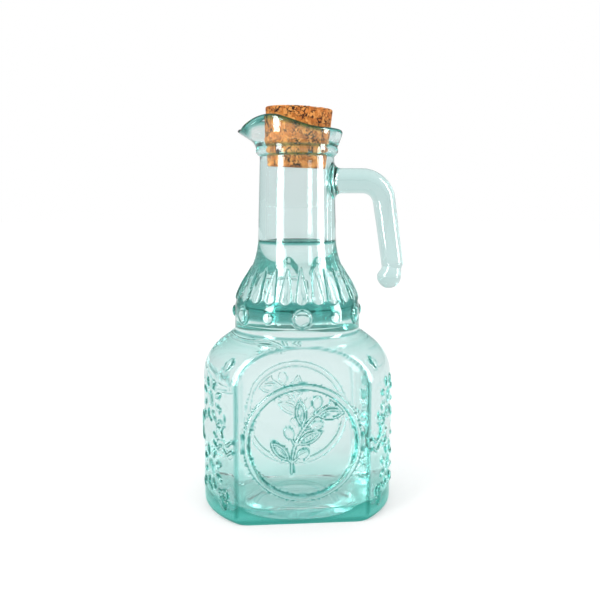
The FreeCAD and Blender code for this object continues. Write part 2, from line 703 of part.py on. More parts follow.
def atRoot(edge):
    box = edge.BoundBox
    low = sizes["handleHeight"] - 8.0
    high = sizes["handleHeight"] + 8.0
    return box.XMin > 14.0 and box.XMax < 19.5 and box.ZMin > low and box.ZMax < high and edge.Length > 4.0


rooted = doc.addObject("Part::Fillet", "handleRootRounding")
rooted.Base = joined
rootEdges = [index + 1 for index, edge in enumerate(joined.Shape.Edges) if atRoot(edge)]
rooted.Edges = [(index, sizes["handleRootRound"], sizes["handleRootRound"]) for index in rootEdges]
doc.recompute()
dressed = doc.addObject("Part::MultiFuse", "glassDressed")
dressed.Shapes = [rooted] + ornament
doc.recompute()
glass = doc.addObject("Part::Cut", "glassHollowed")
glass.Base = dressed
glass.Tool = hollow
doc.recompute()

# Liquid: the hollow filled to its level.
levelBox = doc.addObject("Part::Box", "levelBox")
levelBox.Length = 200.0
levelBox.Width = 200.0
levelBox.Placement.Base = Vector(-100.0, -100.0, 0.0)
levelBox.setExpression("Height", "Sizes.liquidLevel")
oil = doc.addObject("Part::MultiCommon", "oilFill")
oil.Shapes = [hollow, levelBox]

# Cork: a tapered stopper pressed into the mouth at a slight lean, cut to the glass that squeezes it.
corkCone = doc.addObject("Part::Cone", "corkCone")
corkCone.setExpression("Radius1", "Sizes.corkBottomRadius")
corkCone.setExpression("Radius2", "Sizes.corkTopRadius")
corkCone.setExpression("Height", "Sizes.corkLength")
leanSide = Rotation(Vector(0, 1, 0), sizes["corkLean"])
leanFront = Rotation(Vector(1, 0, 0), sizes["corkTip"])
corkTurn = leanFront.multiply(leanSide)
corkAxis = corkTurn.multVec(Vector(0, 0, 1))
gripHeight = sizes["boreTop"]
top = sizes["corkTopHeight"]
corkBase = Vector(0, 0, gripHeight).sub(Vector(corkAxis).multiply(sizes["corkLength"] - (top - gripHeight)))
corkCone.Placement = Placement(corkBase, corkTurn)
doc.recompute()
corkEdge = doc.addObject("Part::Chamfer", "corkChamfer")
corkEdge.Base = corkCone
corkEdges = [index + 1 for index, edge in enumerate(corkCone.Shape.Edges) if edge.isClosed()]
corkEdge.Edges = [(index, sizes["corkChamfer"], sizes["corkChamfer"]) for index in corkEdges]
cork = doc.addObject("Part::Cut", "corkPressed")
cork.Base = corkEdge
cork.Tool = glass
doc.recompute()

os.makedirs("parts", exist_ok=True)
nodes = {"glass_bottle": glass, "oil": oil, "cork_stopper": cork}
for item in doc.Objects:
    if "Invalid" in item.State or "Error" in item.State:
        raise RuntimeError("%s: %s" % (item.Label, item.State))
for name, item in nodes.items():
    item.Label = name
    shape = item.Shape
    if shape.isNull() or not shape.isValid() or len(shape.Solids) != 1:
        raise RuntimeError("%s: %d solids" % (name, len(shape.Solids)))
    shape.Solids[0].exportStep("parts/%s.step" % name)
    print(name, shape.Volume, shape.Solids[0].CenterOfMass)
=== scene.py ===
import math

import bmesh
import bpy
import numpy as np
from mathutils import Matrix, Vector, noise


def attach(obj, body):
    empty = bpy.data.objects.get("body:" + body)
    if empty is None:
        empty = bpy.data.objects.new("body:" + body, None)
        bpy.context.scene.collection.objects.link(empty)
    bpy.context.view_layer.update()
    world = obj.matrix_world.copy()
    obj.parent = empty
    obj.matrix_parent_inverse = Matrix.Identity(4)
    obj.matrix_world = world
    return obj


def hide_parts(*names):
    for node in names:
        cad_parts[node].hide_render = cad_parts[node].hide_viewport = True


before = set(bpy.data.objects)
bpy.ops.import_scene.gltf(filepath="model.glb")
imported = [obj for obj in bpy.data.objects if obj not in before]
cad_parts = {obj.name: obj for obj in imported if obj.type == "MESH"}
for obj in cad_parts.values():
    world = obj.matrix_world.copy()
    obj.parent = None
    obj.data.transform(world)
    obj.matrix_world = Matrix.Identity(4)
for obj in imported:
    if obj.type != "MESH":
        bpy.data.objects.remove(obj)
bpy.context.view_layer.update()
print("frame loaded", sorted(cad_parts))

mm = 0.001
flatLeast = 1e-4  # keeps a flat's distance finite where its direction runs along it


# curves and small helpers, in millimetres

def arcPoints(start, finish, radius, side, count):
    start, finish = np.array(start, float), np.array(finish, float)
    chord = finish - start
    length = np.hypot(*chord)
    across = np.array((-chord[1], chord[0])) / length
    depth = math.sqrt(radius ** 2 - length ** 2 / 4)
    centre = (start + finish) / 2 - across * side * depth  # bulges left of the way it runs when side is 1
    first = math.atan2(*(start - centre)[::-1])
    last = math.atan2(*(finish - centre)[::-1])
    sweep = (last - first + math.pi) % math.tau - math.pi
    angles = first + sweep * np.arange(1, count + 1) / count
    return [tuple(centre + radius * np.array((math.cos(a), math.sin(a)))) for a in angles]


def straightPoints(start, finish, count):
    return [tuple(np.array(start) + (np.array(finish) - start) * i / count) for i in range(1, count + 1)]


def outlineRows(places, start, *stretches):
    at = places[start]
    rows = [at]
    for name, count, *bend in stretches:  # bend is a radius and a side where the stretch is round
        rows += arcPoints(at, places[name], *bend, count) if bend else straightPoints(at, places[name], count)
        at = places[name]
    return rows


def smoothCurve(at, knots, values):
    knots, values = np.array(knots, float), np.array(values, float)
    slopes = np.gradient(values, knots)
    slot = np.clip(np.searchsorted(knots, at) - 1, 0, len(knots) - 2)
    width = knots[slot + 1] - knots[slot]
    t = np.clip((at - knots[slot]) / width, 0, 1)
    return (values[slot] * (1 + 2 * t) * (1 - t) ** 2 + slopes[slot] * width * t * (1 - t) ** 2
            + values[slot + 1] * t ** 2 * (3 - 2 * t) + slopes[slot + 1] * width * t ** 2 * (t - 1))


def softMin(a, b, blend):
    h = np.clip(0.5 + 0.5 * (b - a) / blend, 0, 1)
    return b * (1 - h) + a * h - blend * h * (1 - h)


def flatRadius(angle, distance):
    return distance / np.maximum(np.abs(np.sin(angle)), flatLeast)


def onFlats(radius, angle, distance, soft):
    return np.minimum(softMin(radius, flatRadius(angle, distance), soft), radius)


def aroundLip(angle):
    return np.abs(np.arctan2(np.sin(angle - math.pi), np.cos(angle - math.pi)))


def bell(away, width):
    return np.exp(-(away / width) ** 2)


def readPoints(mesh):
    co = np.empty(len(mesh.vertices) * 3, np.float64)
    mesh.vertices.foreach_get("co", co)
    return co.reshape(-1, 3) / mm


def writePoints(mesh, points):
    mesh.vertices.foreach_set("co", (points * mm).ravel())
    mesh.update()


def polar(points):
    return np.hypot(points[:, 0], points[:, 1]), np.arctan2(points[:, 1], points[:, 0]), points[:, 2]


def writeRound(mesh, radius, angle, height):
    writePoints(mesh, np.stack((radius * np.cos(angle), radius * np.sin(angle), height), 1))


def readNormals(mesh):
    values = np.empty(len(mesh.vertices) * 3, np.float32)
    mesh.vertex_normals.foreach_get("vector", values)
    return values.reshape(-1, 3).astype(float)


def readLayer(mesh, name):
    values = np.empty(len(mesh.vertices), np.float32)
    mesh.attributes[name].data.foreach_get("value", values)
    return values.astype(float)


def writeLayer(mesh, name, values):
    layer = mesh.attributes.new(name, "FLOAT", "POINT")
    layer.data.foreach_set("value", values.astype(np.float32))


def addPiece(name, mesh, replaced, material):
    piece = bpy.data.objects.new(name, mesh)
    bpy.context.scene.collection.objects.link(piece)
    mesh.polygons.foreach_set("use_smooth", [True] * len(mesh.polygons))
    mesh.materials.clear()
    mesh.materials.append(material)
    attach(piece, "root")
    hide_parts(replaced)


def toMesh(bm, name):
    mesh = bpy.data.meshes.new(name)
    bm.to_mesh(mesh)
    bm.free()
    return mesh


def spinInto(bm, rows, steps):
    floats = bm.verts.layers.float
    layers = [floats[name] for name in ("inside", "share", "rise") if name in floats]
    verts = []
    for row in rows:
        vert = bm.verts.new((row[0] * mm, 0, row[1] * mm))
        for layer, value in zip(layers, row[2:]):
            vert[layer] = value
        verts.append(vert)
    edges = [bm.edges.new(pair) for pair in zip(verts, verts[1:])]
    bmesh.ops.spin(bm, geom=verts + edges, cent=(0, 0, 0), axis=(0, 0, 1), dvec=(0, 0, 0),
                   angle=math.tau, steps=steps, use_merge=True, use_duplicate=False)
    bmesh.ops.remove_doubles(bm, verts=bm.verts, dist=1e-6)


# glass bottle: radius and height of the corners of its outside and of its hollow

outer = {
    "footMiddle": (0.0, 2.2), "footHollow": (19.0, 2.2), "footRing": (27.0, 0.0), "baseInner": (31.0, 0.0),
    "baseOuter": (42.1, 0.0), "wallFoot": (44.7, 2.6), "wallTop": (44.7, 59.3), "shoulder": (37.3, 76.3),
    "collarFoot": (29.7, 82.1), "collarTop": (29.7, 93.0), "flare": (24.3, 106.3), "neckFoot": (18.4, 125.8),
    "neckMiddle": (18.05, 139.0), "neckTop": (17.4, 163.4), "ringEdge": (19.0, 167.0),
}
hollow = {
    "boreTop": (14.62, 160.5), "boreFoot": (14.8, 124.8), "flare": (20.4, 105.3), "collarTop": (25.7, 92.2),
    "collarFoot": (25.7, 86.5), "shoulderTop": (30.4, 77.0), "shoulder": (35.0, 73.5),
    "wallTop": (41.1, 59.3), "wallFoot": (41.1, 12.6), "floorEdge": (34.1, 5.6), "floorRise": (20.0, 6.8),
    "floorMiddle": (0.0, 6.8),
}
rounds = {"base": 2.6, "shoulder": 20.9, "flare": 50.0, "neck": 37.0, "ring": 2.6,
          "collarInside": 12.0, "shoulderInside": 17.3, "floorInside": 7.0}

glass = {
    "footSteps": 100, "bodySteps": 200, "hollowSteps": 100, "bodyTop": 113.5, "flatsOutside": 24.0,
    "panelDistance": 33.5, "panelSoftness": 1.2, "cavityPanel": 29.9, "cavitySoftness": 3.0,
    # the colour of the painted shade in the glass
    "shadeColour": (0.0015, 0.08, 0.062, 1), "farSide": 0.3, "ior": 1.5, "tint": (0.111, 0.733, 0.689, 1),
    "tintDensity": 42.0, "waveScale": 70.0, "waveStretch": (1, 1, 0.55), "waviness": 0.1, "waveDepth": 0.0006,
}

rim = {
    "tipLevel": 174.2, "fall": (-9.0, 179.9), "hump": 15.9, "humpCentre": (-14.63, 165.03),
    "ease": (0.5, 176.75), "level": (10.0, 175.15), "firstGuess": 175.1,
    "base": 167.5, "mouthBase": 163.7, "edge": 1.1, "drop": 0.9, "boreTop": 163.9, "bore": 14.6,
    "outerSteps": 11, "edgeSteps": 8, "mouthSteps": 9, "spareLevel": 200.0,
    # height, radius, and reach of the lip
    "outside": ((166.9, 18.7, 19.0), (170.1, 20.0, 20.9), (172.7, 20.9, 24.5), (175.1, 21.3, 27.3),
                (184.0, 21.5, 31.4)),
    "mouth": ((163.4, 14.6, 14.9), (167.5, 15.4, 16.0), (171.7, 17.7, 20.0), (175.1, 18.8, 24.7),
              (185.0, 19.1, 29.0)),
}


def rimHeight(x):
    centre, fall, ease, level = (rim[name] for name in ("humpCentre", "fall", "ease", "level"))
    humpPart = centre[1] + np.sqrt(np.maximum(rim["hump"] ** 2 - (x - centre[0]) ** 2, 0))
    straight = fall[1] + (x - fall[0]) * (ease[1] - fall[1]) / (ease[0] - fall[0])
    t = np.clip((level[0] - x) / (level[0] - ease[0]), 0, 1)
    settle = level[1] + (ease[1] - level[1]) * t ** 2
    height = np.where(x < fall[0], humpPart, np.where(x < ease[0], straight, settle))
    return np.maximum(height, rim["tipLevel"])


def lipOutline(levels, z, fromLip):
    heights, radii, reaches = zip(*levels)
    radius = smoothCurve(z, heights, radii)
    reach = smoothCurve(z, heights, reaches)
    along, across = 0.6, 0.8  # the sides of the lip leave the round at a 3:4:5 slope
    tip = (radius - along * reach) / (1 - along)  # radius of the lip's end
    out = reach - tip
    bound = math.atan2(across, along)
    join = np.arctan2(across * tip, out + along * tip)
    onTip = out * np.cos(fromLip) + np.sqrt(np.maximum(tip ** 2 - (out * np.sin(fromLip)) ** 2, 0))
    onSide = radius / np.cos(np.clip(bound - fromLip, 0, 1.2))
    return np.where(fromLip < join, onTip, np.where(fromLip < bound, onSide, radius))


def tagged(rows, inside):
    return [(row[0], row[1], inside, 0.0, -1.0) for row in rows]


def rimRows():
    spare = rim["spareLevel"]  # the rows wait up here, each at its own radius, until rimForm places them
    rows = [(30.0 + i, spare, 0.0, 0.0, i / rim["outerSteps"]) for i in range(rim["outerSteps"] + 1)]
    rows += [(50.0 + i, spare, 0.5, i / rim["edgeSteps"], 1.0) for i in range(1, rim["edgeSteps"])]
    rows += [(70.0 + i, spare, 1.0, 1.0, 1 - i / rim["mouthSteps"]) for i in range(rim["mouthSteps"])]
    return rows + [(rim["bore"], rim["mouthBase"], 1.0, 0.0, -1.0)]


def openLoop(bm, row):
    return [e for e in bm.edges if e.is_boundary and abs(e.verts[0].co.z / mm - row[1]) < 0.01
            and abs(e.verts[0].co.xy.length / mm - row[0]) < 0.01]


footRows = outlineRows(outer, "footMiddle", ("footHollow", 2), ("footRing", 3))
outerRows = outlineRows(
    outer, "baseInner", ("baseOuter", 4), ("wallFoot", 5, rounds["base"], -1), ("wallTop", 44),
    ("shoulder", 15, rounds["shoulder"], -1), ("collarFoot", 7), ("collarTop", 12),
    ("flare", 14, rounds["flare"], -1), ("neckFoot", 21, rounds["neck"], 1), ("neckMiddle", 3),
    ("neckTop", 28), ("ringEdge", 7, rounds["ring"], -1))
hollowRows = outlineRows(
    hollow, "boreTop", ("boreFoot", 5), ("flare", 9, rounds["neck"], -1),
    ("collarTop", 5, rounds["flare"], 1), ("collarFoot", 2), ("shoulderTop", 8, rounds["collarInside"], 1),
    ("shoulder", 2), ("wallTop", 9, rounds["shoulderInside"], 1), ("wallFoot", 3),
    ("floorEdge", 7, rounds["floorInside"], 1), ("floorRise", 2), ("floorMiddle", 2))
bodyRows = [row for row in outerRows if row[1] < glass["bodyTop"]]
neckRows = [row for row in outerRows if row[1] > glass["bodyTop"]]


def turnBottle():
    bm = bmesh.new()
    for name in ("inside", "share", "rise"):  # inner face 1, across the rim's edge 0 to 1, up the rim 0 to 1
        bm.verts.layers.float.new(name)
    upper = tagged(neckRows, 0.0) + rimRows()
    spinInto(bm, tagged(footRows, 0.0), glass["footSteps"])
    spinInto(bm, tagged(bodyRows, 0.0), glass["bodySteps"])
    spinInto(bm, upper, glass["bodySteps"])
    spinInto(bm, tagged(hollowRows, 1.0), glass["hollowSteps"])
    for low, high in ((footRows[-1], bodyRows[0]), (bodyRows[-1], neckRows[0]), (upper[-1], hollowRows[0])):
        bmesh.ops.bridge_loops(bm, edges=openLoop(bm, low) + openLoop(bm, high))
    bmesh.ops.triangulate(bm, faces=[f for f in bm.faces if len(f.verts) > 4])
    bmesh.ops.recalc_face_normals(bm, faces=bm.faces)
    print("bottle turned", len(bm.verts), "open edges", sum(1 for e in bm.edges if not e.is_manifold))
    return toMesh(bm, "glassBottle")


def flatBody(radius, angle, inside, rise):  # flats front and back, eased into the round
    distance = np.where(inside > 0.9, glass["cavityPanel"], glass["panelDistance"])
    soft = np.where(inside > 0.9, glass["cavitySoftness"], glass["panelSoftness"])
    onBody = (rise < 0) & (radius > glass["flatsOutside"])
    return np.where(onBody, onFlats(radius, angle, distance, soft), radius)


def rimForm(radius, angle, height, inside, share, rise):
    fromLip = aroundLip(angle)
    top = np.full_like(height, rim["firstGuess"])
    for repeat in range(4):  # the edge's height and the reach of the lip depend on each other
        top = rimHeight(-lipOutline(rim["outside"], top, fromLip) * np.cos(fromLip))
    outerTop, innerTop = (lipOutline(rim[name], top, fromLip) for name in ("outside", "mouth"))
    rimZ = rim["base"] + rise * (top - rim["base"])
    mouthZ = rim["mouthBase"] + rise * (top - rim["mouthBase"])
    drop = rim["edge"] * rim["drop"]
    edgeZ = top + rim["edge"] * np.sqrt(np.clip(1 - (2 * share - 1) ** 2, 0, 1)) - drop
    places = (
        ((rise >= 0) & (inside < 0.1), lipOutline(rim["outside"], rimZ, fromLip), rimZ - drop * rise ** 3),
        ((rise >= 0) & (inside > 0.9), lipOutline(rim["mouth"], mouthZ, fromLip), mouthZ - drop * rise ** 3),
        ((rise >= 0) & (inside > 0.4) & (inside < 0.6), outerTop + (innerTop - outerTop) * share, edgeZ),
    )
    for chosen, newRadius, newHeight in places:
        radius, height = np.where(chosen, newRadius, radius), np.where(chosen, newHeight, height)
    return radius, height


def shapeBottle(mesh):
    radius, angle, height = polar(readPoints(mesh))
    inside, share, rise = (readLayer(mesh, name) for name in ("inside", "share", "rise"))
    radius = flatBody(radius, angle, inside, rise)
    radius, height = rimForm(radius, angle, height, inside, share, rise)
    writeRound(mesh, radius, angle, height)


bottleMesh = turnBottle()
shapeBottle(bottleMesh)
print("flats, rim and lip shaped")


# raised ornament, in millimetres, as heights laid over the turned form

ornament = {
    "panelCentre": 36.8, "panelReach": 22.5, "ringRadius": 24.95, "ringHalf": 1.35, "ringHeight": 0.95,
    "flatMargin": 0.9, "wallZone": (3.0, 76.0), "collarZone": (82.5, 96.5), "collarReach": 30.2,
    "flareZone": (95.5, 113.5), "turnedFrom": 2.7, "foldTop": 79.0,
    "lineHalf": 0.7, "lineHeight": 0.75,
    "refine": ((0.9, 0.15), (0.4, 0.4)),  # how far round each point to look, and the least change that counts
}
beads = {
    "level": 90.8, "spacing": 60, "big": 3.55, "bigHeight": 1.2, "small": 2.55, "smallHeight": 1.15,
    "rim": 4.05, "rimHalf": 0.5, "rimHeight": 0.65,
}
petals = {"count": 24, "foot": 96.4, "tip": 112.3, "half": 2.75, "height": 1.05, "roundShare": 0.16}
flowers = {
    "angles": (65.0, 115.0), "levels": (53.4, 21.7), "heart": 3.0, "heartHeight": 1.15,
    "heartRing": 3.1, "ringHalf": 0.35, "ringHeight": 0.35, "curlHalf": 0.8,
    "petals": 8, "petalAt": 7.7, "petalLong": 2.4, "petalWide": 1.25, "petalHeight": 0.95,
    # centre, radius, from and to in degrees, share of the height
    "curls": (((-8.6, -9.6), 2.0, 20, 250, 1.0), ((8.6, -10.0), 1.7, -70, 160, 1.0),
              ((-3.0, -14.6), 6.0, 55, 120, 0.9)),
}
vines = {
    "lift": 0.7, "from": 22.0, "to": 36.5, "half": 0.85, "stems": ((1.1, 36.2), (1.0, 32.0)),
    "waves": 0.9, "wavesStart": 0.6, "sway": 0.9, "swayWaves": 0.31, "swaySlope": 0.28,
    # centre, radius, from and to in degrees, shares of the line's width and height
    "curls": (((27.0, 39.4), 1.75, -180, 180, 0.85, 1.0), ((-22.6, 46.0), 8.5, 170, 235, 0.7, 0.8),
              ((0.0, 38.5), 3.2, -60, 240, 1.0, 1.0), ((5.8, 33.5), 3.0, 100, 330, 1.0, 1.0),
              ((31.0, 11.6), 1.9, -110, 170, 0.8, 1.0), ((31.0, 11.6), 3.6, 215, 300, 0.8, 1.0)),
    # centre, lean in degrees, half length, half width, height
    "buds": (((-28.0, 38.5), 65, 2.9, 2.0, 1.0), ((-30.6, 43.6), 100, 1.5, 0.7, 0.7),
             ((-24.8, 43.0), 70, 1.6, 0.75, 0.7), ((30.0, 7.6), 96, 2.75, 1.9, 1.0),
             ((-30.0, 7.6), 84, 2.75, 1.9, 1.0), ((-31.5, 70.0), 125, 2.9, 1.9, 1.0),
             ((31.5, 70.0), 55, 2.9, 1.9, 1.0)),
}
sprig = {
    "centre": (26.0, -11.0), "radius": 31.0, "from": 109.0, "to": 184.0, "tipBeyond": 8.0,
    "pairs": 5, "firstPair": 8.0, "pairStep": 14.5, "spread": 48.0, "closing": 4.0,
    "stalk": 2.0, "oliveStalk": -1.0, "stalkShown": 2.2,
    "leafLong": 5.3, "leafWide": 1.9, "oliveLong": 3.0, "oliveWide": 2.2, "oliveHeight": 0.9,
    "leafLine": 0.9, "stalkLine": 0.8,
}


def dome(u, v, size, rise):
    return rise * np.sqrt(np.clip(1 - (u * u + v * v) / size ** 2, 0, 1))


def ovalDome(u, v, lean, longHalf, wideHalf, rise):
    p = u * math.cos(lean) + v * math.sin(lean)
    q = -u * math.sin(lean) + v * math.cos(lean)
    return rise * np.sqrt(np.clip(1 - (p / longHalf) ** 2 - (q / wideHalf) ** 2, 0, 1))


def ridge(distance, half, rise):
    return rise * np.sqrt(np.clip(1 - (distance / half) ** 2, 0, 1))


def arcLine(u, v, centre, size, first, last, half, rise):
    p, q = u - centre[0], v - centre[1]
    middle, reach = math.radians(first + last) / 2, math.radians(last - first) / 2
    away = np.abs((np.arctan2(q, p) - middle + math.pi) % math.tau - math.pi)
    onArc = np.abs(np.hypot(p, q) - size)
    over = np.maximum(away - reach, 0) * size
    return ridge(np.hypot(onArc, over), half, rise)


def straightLine(u, v, start, finish, half, rise):
    run = np.array(finish, float) - np.array(start, float)
    t = np.clip(((u - start[0]) * run[0] + (v - start[1]) * run[1]) / (run @ run), 0, 1)
    return ridge(np.hypot(u - start[0] - t * run[0], v - start[1] - t * run[1]), half, rise)


def leaf(u, v, centre, lean):
    longHalf, wideHalf = sprig["leafLong"], sprig["leafWide"]
    half, rise = ornament["lineHalf"] * sprig["leafLine"], ornament["lineHeight"]
    p = (u - centre[0]) * math.cos(lean) + (v - centre[1]) * math.sin(lean)
    q = -(u - centre[0]) * math.sin(lean) + (v - centre[1]) * math.cos(lean)
    curve = (longHalf ** 2 + wideHalf ** 2) / (2 * wideHalf)  # both edges are arcs that meet at the tips
    inward = curve - np.hypot(p, np.abs(q) + curve - wideHalf)
    edge = ridge(inward, half, rise)
    rib = np.where(np.abs(p) < longHalf * 0.75, ridge(q, half * 0.7, rise * 0.7), 0)
    blade = 0.25 * rise * np.clip(inward / (wideHalf * 0.5), 0, 1)
    return np.maximum.reduce((edge, rib, blade))


def along(start, turn, reach):
    return np.array(start) + reach * np.array((math.cos(turn), math.sin(turn)))


def sprigHeight(u, v):
    half, rise = ornament["lineHalf"], ornament["lineHeight"]
    thin, low = half * sprig["stalkLine"], rise * sprig["stalkLine"]
    parts = [arcLine(u, v, sprig["centre"], sprig["radius"], sprig["from"], sprig["to"], half, rise)]
    for index in range(sprig["pairs"]):
        turn = math.radians(sprig["to"] - sprig["firstPair"] - index * sprig["pairStep"])
        stem = along(sprig["centre"], turn, sprig["radius"])
        growing = turn - math.pi / 2  # the way the stem runs, foot to tip
        for side in (-1, 1):
            lean = growing + side * math.radians(sprig["spread"] - sprig["closing"] * index)
            reach = sprig["stalk"] + sprig["leafLong"]
            if (index + (side > 0)) % 2:  # a leaf on one side, an olive on the other, taking turns
                centre = along(stem, lean, reach)
                shown = stem + sprig["stalkShown"] * (centre - stem) / reach
                parts += [leaf(u, v, centre, lean), straightLine(u, v, stem, shown, thin, low)]
            else:
                centre = along(stem, lean, reach + sprig["oliveStalk"])
                olive = (sprig["oliveLong"], sprig["oliveWide"], sprig["oliveHeight"])
                parts += [ovalDome(u - centre[0], v - centre[1], lean, *olive)]
                parts += [straightLine(u, v, stem, centre, thin, low)]
    tip = math.radians(sprig["from"] - sprig["tipBeyond"])
    parts.append(leaf(u, v, along(sprig["centre"], tip, sprig["radius"]), tip - math.pi / 2))
    return np.maximum.reduce(parts)


def panelHeight(u, v):
    away = np.hypot(u, v)
    ring = ridge(away - ornament["ringRadius"], ornament["ringHalf"], ornament["ringHeight"])
    return np.maximum(ring, np.where(away < ornament["panelReach"], sprigHeight(u, v), 0))


def flowerHeight(u, v):
    half, rise = ornament["lineHalf"] * flowers["curlHalf"], ornament["lineHeight"]
    parts = [dome(u, v, flowers["heart"], flowers["heartHeight"])]
    parts.append(ridge(np.hypot(u, v) - flowers["heartRing"], flowers["ringHalf"], flowers["ringHeight"]))
    for index in range(flowers["petals"]):
        turn = math.tau * (index + 0.5) / flowers["petals"]
        centre = along((0, 0), turn, flowers["petalAt"])
        parts.append(ovalDome(u - centre[0], v - centre[1], turn,
                              flowers["petalLong"], flowers["petalWide"], flowers["petalHeight"]))
    for centre, size, first, last, tall in flowers["curls"]:
        parts.append(arcLine(u, v, centre, size, first, last, half, rise * tall))
    return np.maximum.reduce(parts)


def vineHeight(u, v):
    half, rise = ornament["lineHalf"], ornament["lineHeight"]
    waves, start, sway, swayWaves = (vines[name] for name in ("waves", "wavesStart", "sway", "swayWaves"))
    parts = []
    for wave, base in vines["stems"]:
        path = base + wave * np.sin(u * waves + start) + sway * np.sin(u * swayWaves)
        slope = wave * waves * np.cos(u * waves + start) + vines["swaySlope"] * np.cos(u * swayWaves)
        line = ridge((v - path) / np.sqrt(1 + slope ** 2), half * vines["half"], rise)
        parts.append(np.where((u > vines["from"]) & (u < vines["to"]), line, 0))
    for centre, size, first, last, wide, tall in vines["curls"]:
        parts.append(arcLine(u, v, centre, size, first, last, half * wide, rise * tall))
    for centre, lean, longHalf, wideHalf, tall in vines["buds"]:
        parts.append(ovalDome(u - centre[0], v - centre[1], math.radians(lean), longHalf, wideHalf, tall))
    return np.maximum.reduce(parts)


def sideHeight(around, level):
    reach = outer["wallTop"][0] * math.pi / 180  # millimetres round the side for each degree
    parts = [flowerHeight((around - place) * reach, level - middle)
             for place in flowers["angles"] for middle in flowers["levels"]]
    parts += [vineHeight((around - 90) * reach * mirror, level - vines["lift"]) for mirror in (1, -1)]
    return np.maximum.reduce(parts)


def beadHeight(around, level):
    reach = outer["collarTop"][0] * math.pi / 180
    half = beads["spacing"] / 2
    v = level - beads["level"]
    u = ((around + half) % beads["spacing"] - half) * reach
    big = dome(u, v, beads["big"], beads["bigHeight"])
    bigRim = ridge(np.hypot(u, v) - beads["rim"], beads["rimHalf"], beads["rimHeight"])
    u = (around % beads["spacing"] - half) * reach
    return np.maximum.reduce((big, bigRim, dome(u, v, beads["small"], beads["smallHeight"])))


def petalHeight(around, level, size):
    step = 360 / petals["count"]
    u = ((around + step / 2) % step - step / 2) * math.pi / 180 * size
    t = (level - petals["foot"]) / (petals["tip"] - petals["foot"])
    roundShare = petals["roundShare"]
    footEnd = np.sqrt(np.clip(1 - ((roundShare - t) / roundShare) ** 2, 0, 1))
    taper = np.clip((1 - t) / (1 - roundShare), 0, 1) ** 0.7
    width = petals["half"] * np.where(t < roundShare, footEnd, taper)
    crown = np.clip(1 - (u / np.maximum(width, 0.01)) ** 2, 0, 1)
    crown = np.where((t > 0) & (t < 1) & (width > 0.01), crown, 0)
    return petals["height"] * np.sqrt(crown) * np.clip(width / petals["half"], 0, 1) ** 0.5


def between(z, zone):
    return (z > zone[0]) & (z < zone[1])


def surfaceParts(mesh):
    x, y, z = readPoints(mesh).T
    outside = (readLayer(mesh, "inside") < 0.1) & (readLayer(mesh, "rise") < 0)
    onFlat = np.abs(y) > glass["panelDistance"] - ornament["flatMargin"]
    onWall = outside & between(z, ornament["wallZone"])
    parts = {"x": x, "y": y, "z": z, "outside": outside, "flat": onWall & onFlat, "side": onWall & ~onFlat}
    onCollar = between(z, ornament["collarZone"]) & (np.hypot(x, y) < ornament["collarReach"])
    parts["collar"] = outside & onCollar
    parts["flare"] = outside & between(z, ornament["flareZone"])
    return parts


def relief(parts, shiftX=0.0, shiftY=0.0, shiftZ=0.0):
    px, py, pz = parts["x"] + shiftX, parts["y"] + shiftY, parts["z"] + shiftZ
    lifted = np.zeros(len(px))
    flat, side, collar, flare = (parts[name] for name in ("flat", "side", "collar", "flare"))
    lifted[flat] = panelHeight(-np.sign(py[flat]) * px[flat], pz[flat] - ornament["panelCentre"])
    front = np.degrees(np.arctan2(px, -py))
    right = np.where(px > 0, front, front + 180)  # the left side repeats the right, turned half round
    lifted[side] = sideHeight(right[side], pz[side])
    lifted[collar] = beadHeight(front[collar], pz[collar])
    lifted[flare] = np.maximum(lifted[flare], petalHeight(front[flare], pz[flare], np.hypot(px, py)[flare]))
    return lifted


def crossways(mesh, step):
    normals = readNormals(mesh)
    reach = np.hypot(normals[:, 0], normals[:, 1]) + 1e-6
    return -normals[:, 1] / reach * step, normals[:, 0] / reach * step


wallRows = [row for row in outerRows if row[1] > ornament["turnedFrom"] - 0.2]


def turnedForm(mesh):
    z = readPoints(mesh)[:, 2]
    turned = np.interp(z, [row[1] for row in wallRows], [row[0] for row in wallRows])
    outside = (readLayer(mesh, "inside") < 0.1) & (readLayer(mesh, "rise") < 0)
    return turned, outside & between(z, (ornament["turnedFrom"], glass["bodyTop"]))


def refineMesh(mesh, reach, least):  # finer along the edges of the ornament, laid back on the turned form
    parts = surfaceParts(mesh)
    wayX, wayY = crossways(mesh, reach)
    near = [relief(parts, wayX * i, wayY * i, reach * j) for i in (-1, 0, 1) for j in (-1, 0, 1)]
    busy = np.ptp(np.array(near), axis=0) > least
    bm = bmesh.new()
    bm.from_mesh(mesh)
    chosen = [edge for edge in bm.edges if busy[edge.verts[0].index] and busy[edge.verts[1].index]]
    bmesh.ops.subdivide_edges(bm, edges=chosen, cuts=1, use_grid_fill=True)
    bmesh.ops.triangulate(bm, faces=[face for face in bm.faces if len(face.verts) > 4])
    bmesh.ops.recalc_face_normals(bm, faces=bm.faces)
    bm.to_mesh(mesh)
    bm.free()
    points = readPoints(mesh)
    radius, angle = polar(points)[:2]
    turned, onWall = turnedForm(mesh)
    flattened = onFlats(turned, angle, glass["panelDistance"], glass["panelSoftness"])
    laid = np.where(turned > glass["flatsOutside"], flattened, turned)
    points[:, :2] *= np.where(onWall, laid / np.maximum(radius, 0.1), 1)[:, None]
    writePoints(mesh, points)


# painted shade in the glass: its steps, widths and strengths
shadeMarks = {
    "edgeStep": 0.15, "edgeSteep": 1.5, "edgePower": 3, "fold": 0.35, "foldWidth": 0.5, "rim": 0.65,
    "foot": 0.7, "footTop": 2.4, "footRing": (18.5, 27.5),
    "lip": 0.6, "lipFrom": -21.0, "lipFade": 6.0, "rimFrom": 168.0,
    # level, width, strength
    "lines": ((82.1, 0.4, 0.4), (1.0, 1.3, 0.45), (163.5, 0.35, 0.4), (167.3, 0.35, 0.4)),
    "bandLow": 88.6, "bandHigh": 98.3, "bandFadeLow": 1.2, "bandFadeHigh": 0.8, "bandBare": 0.3, "band": 0.7,
}


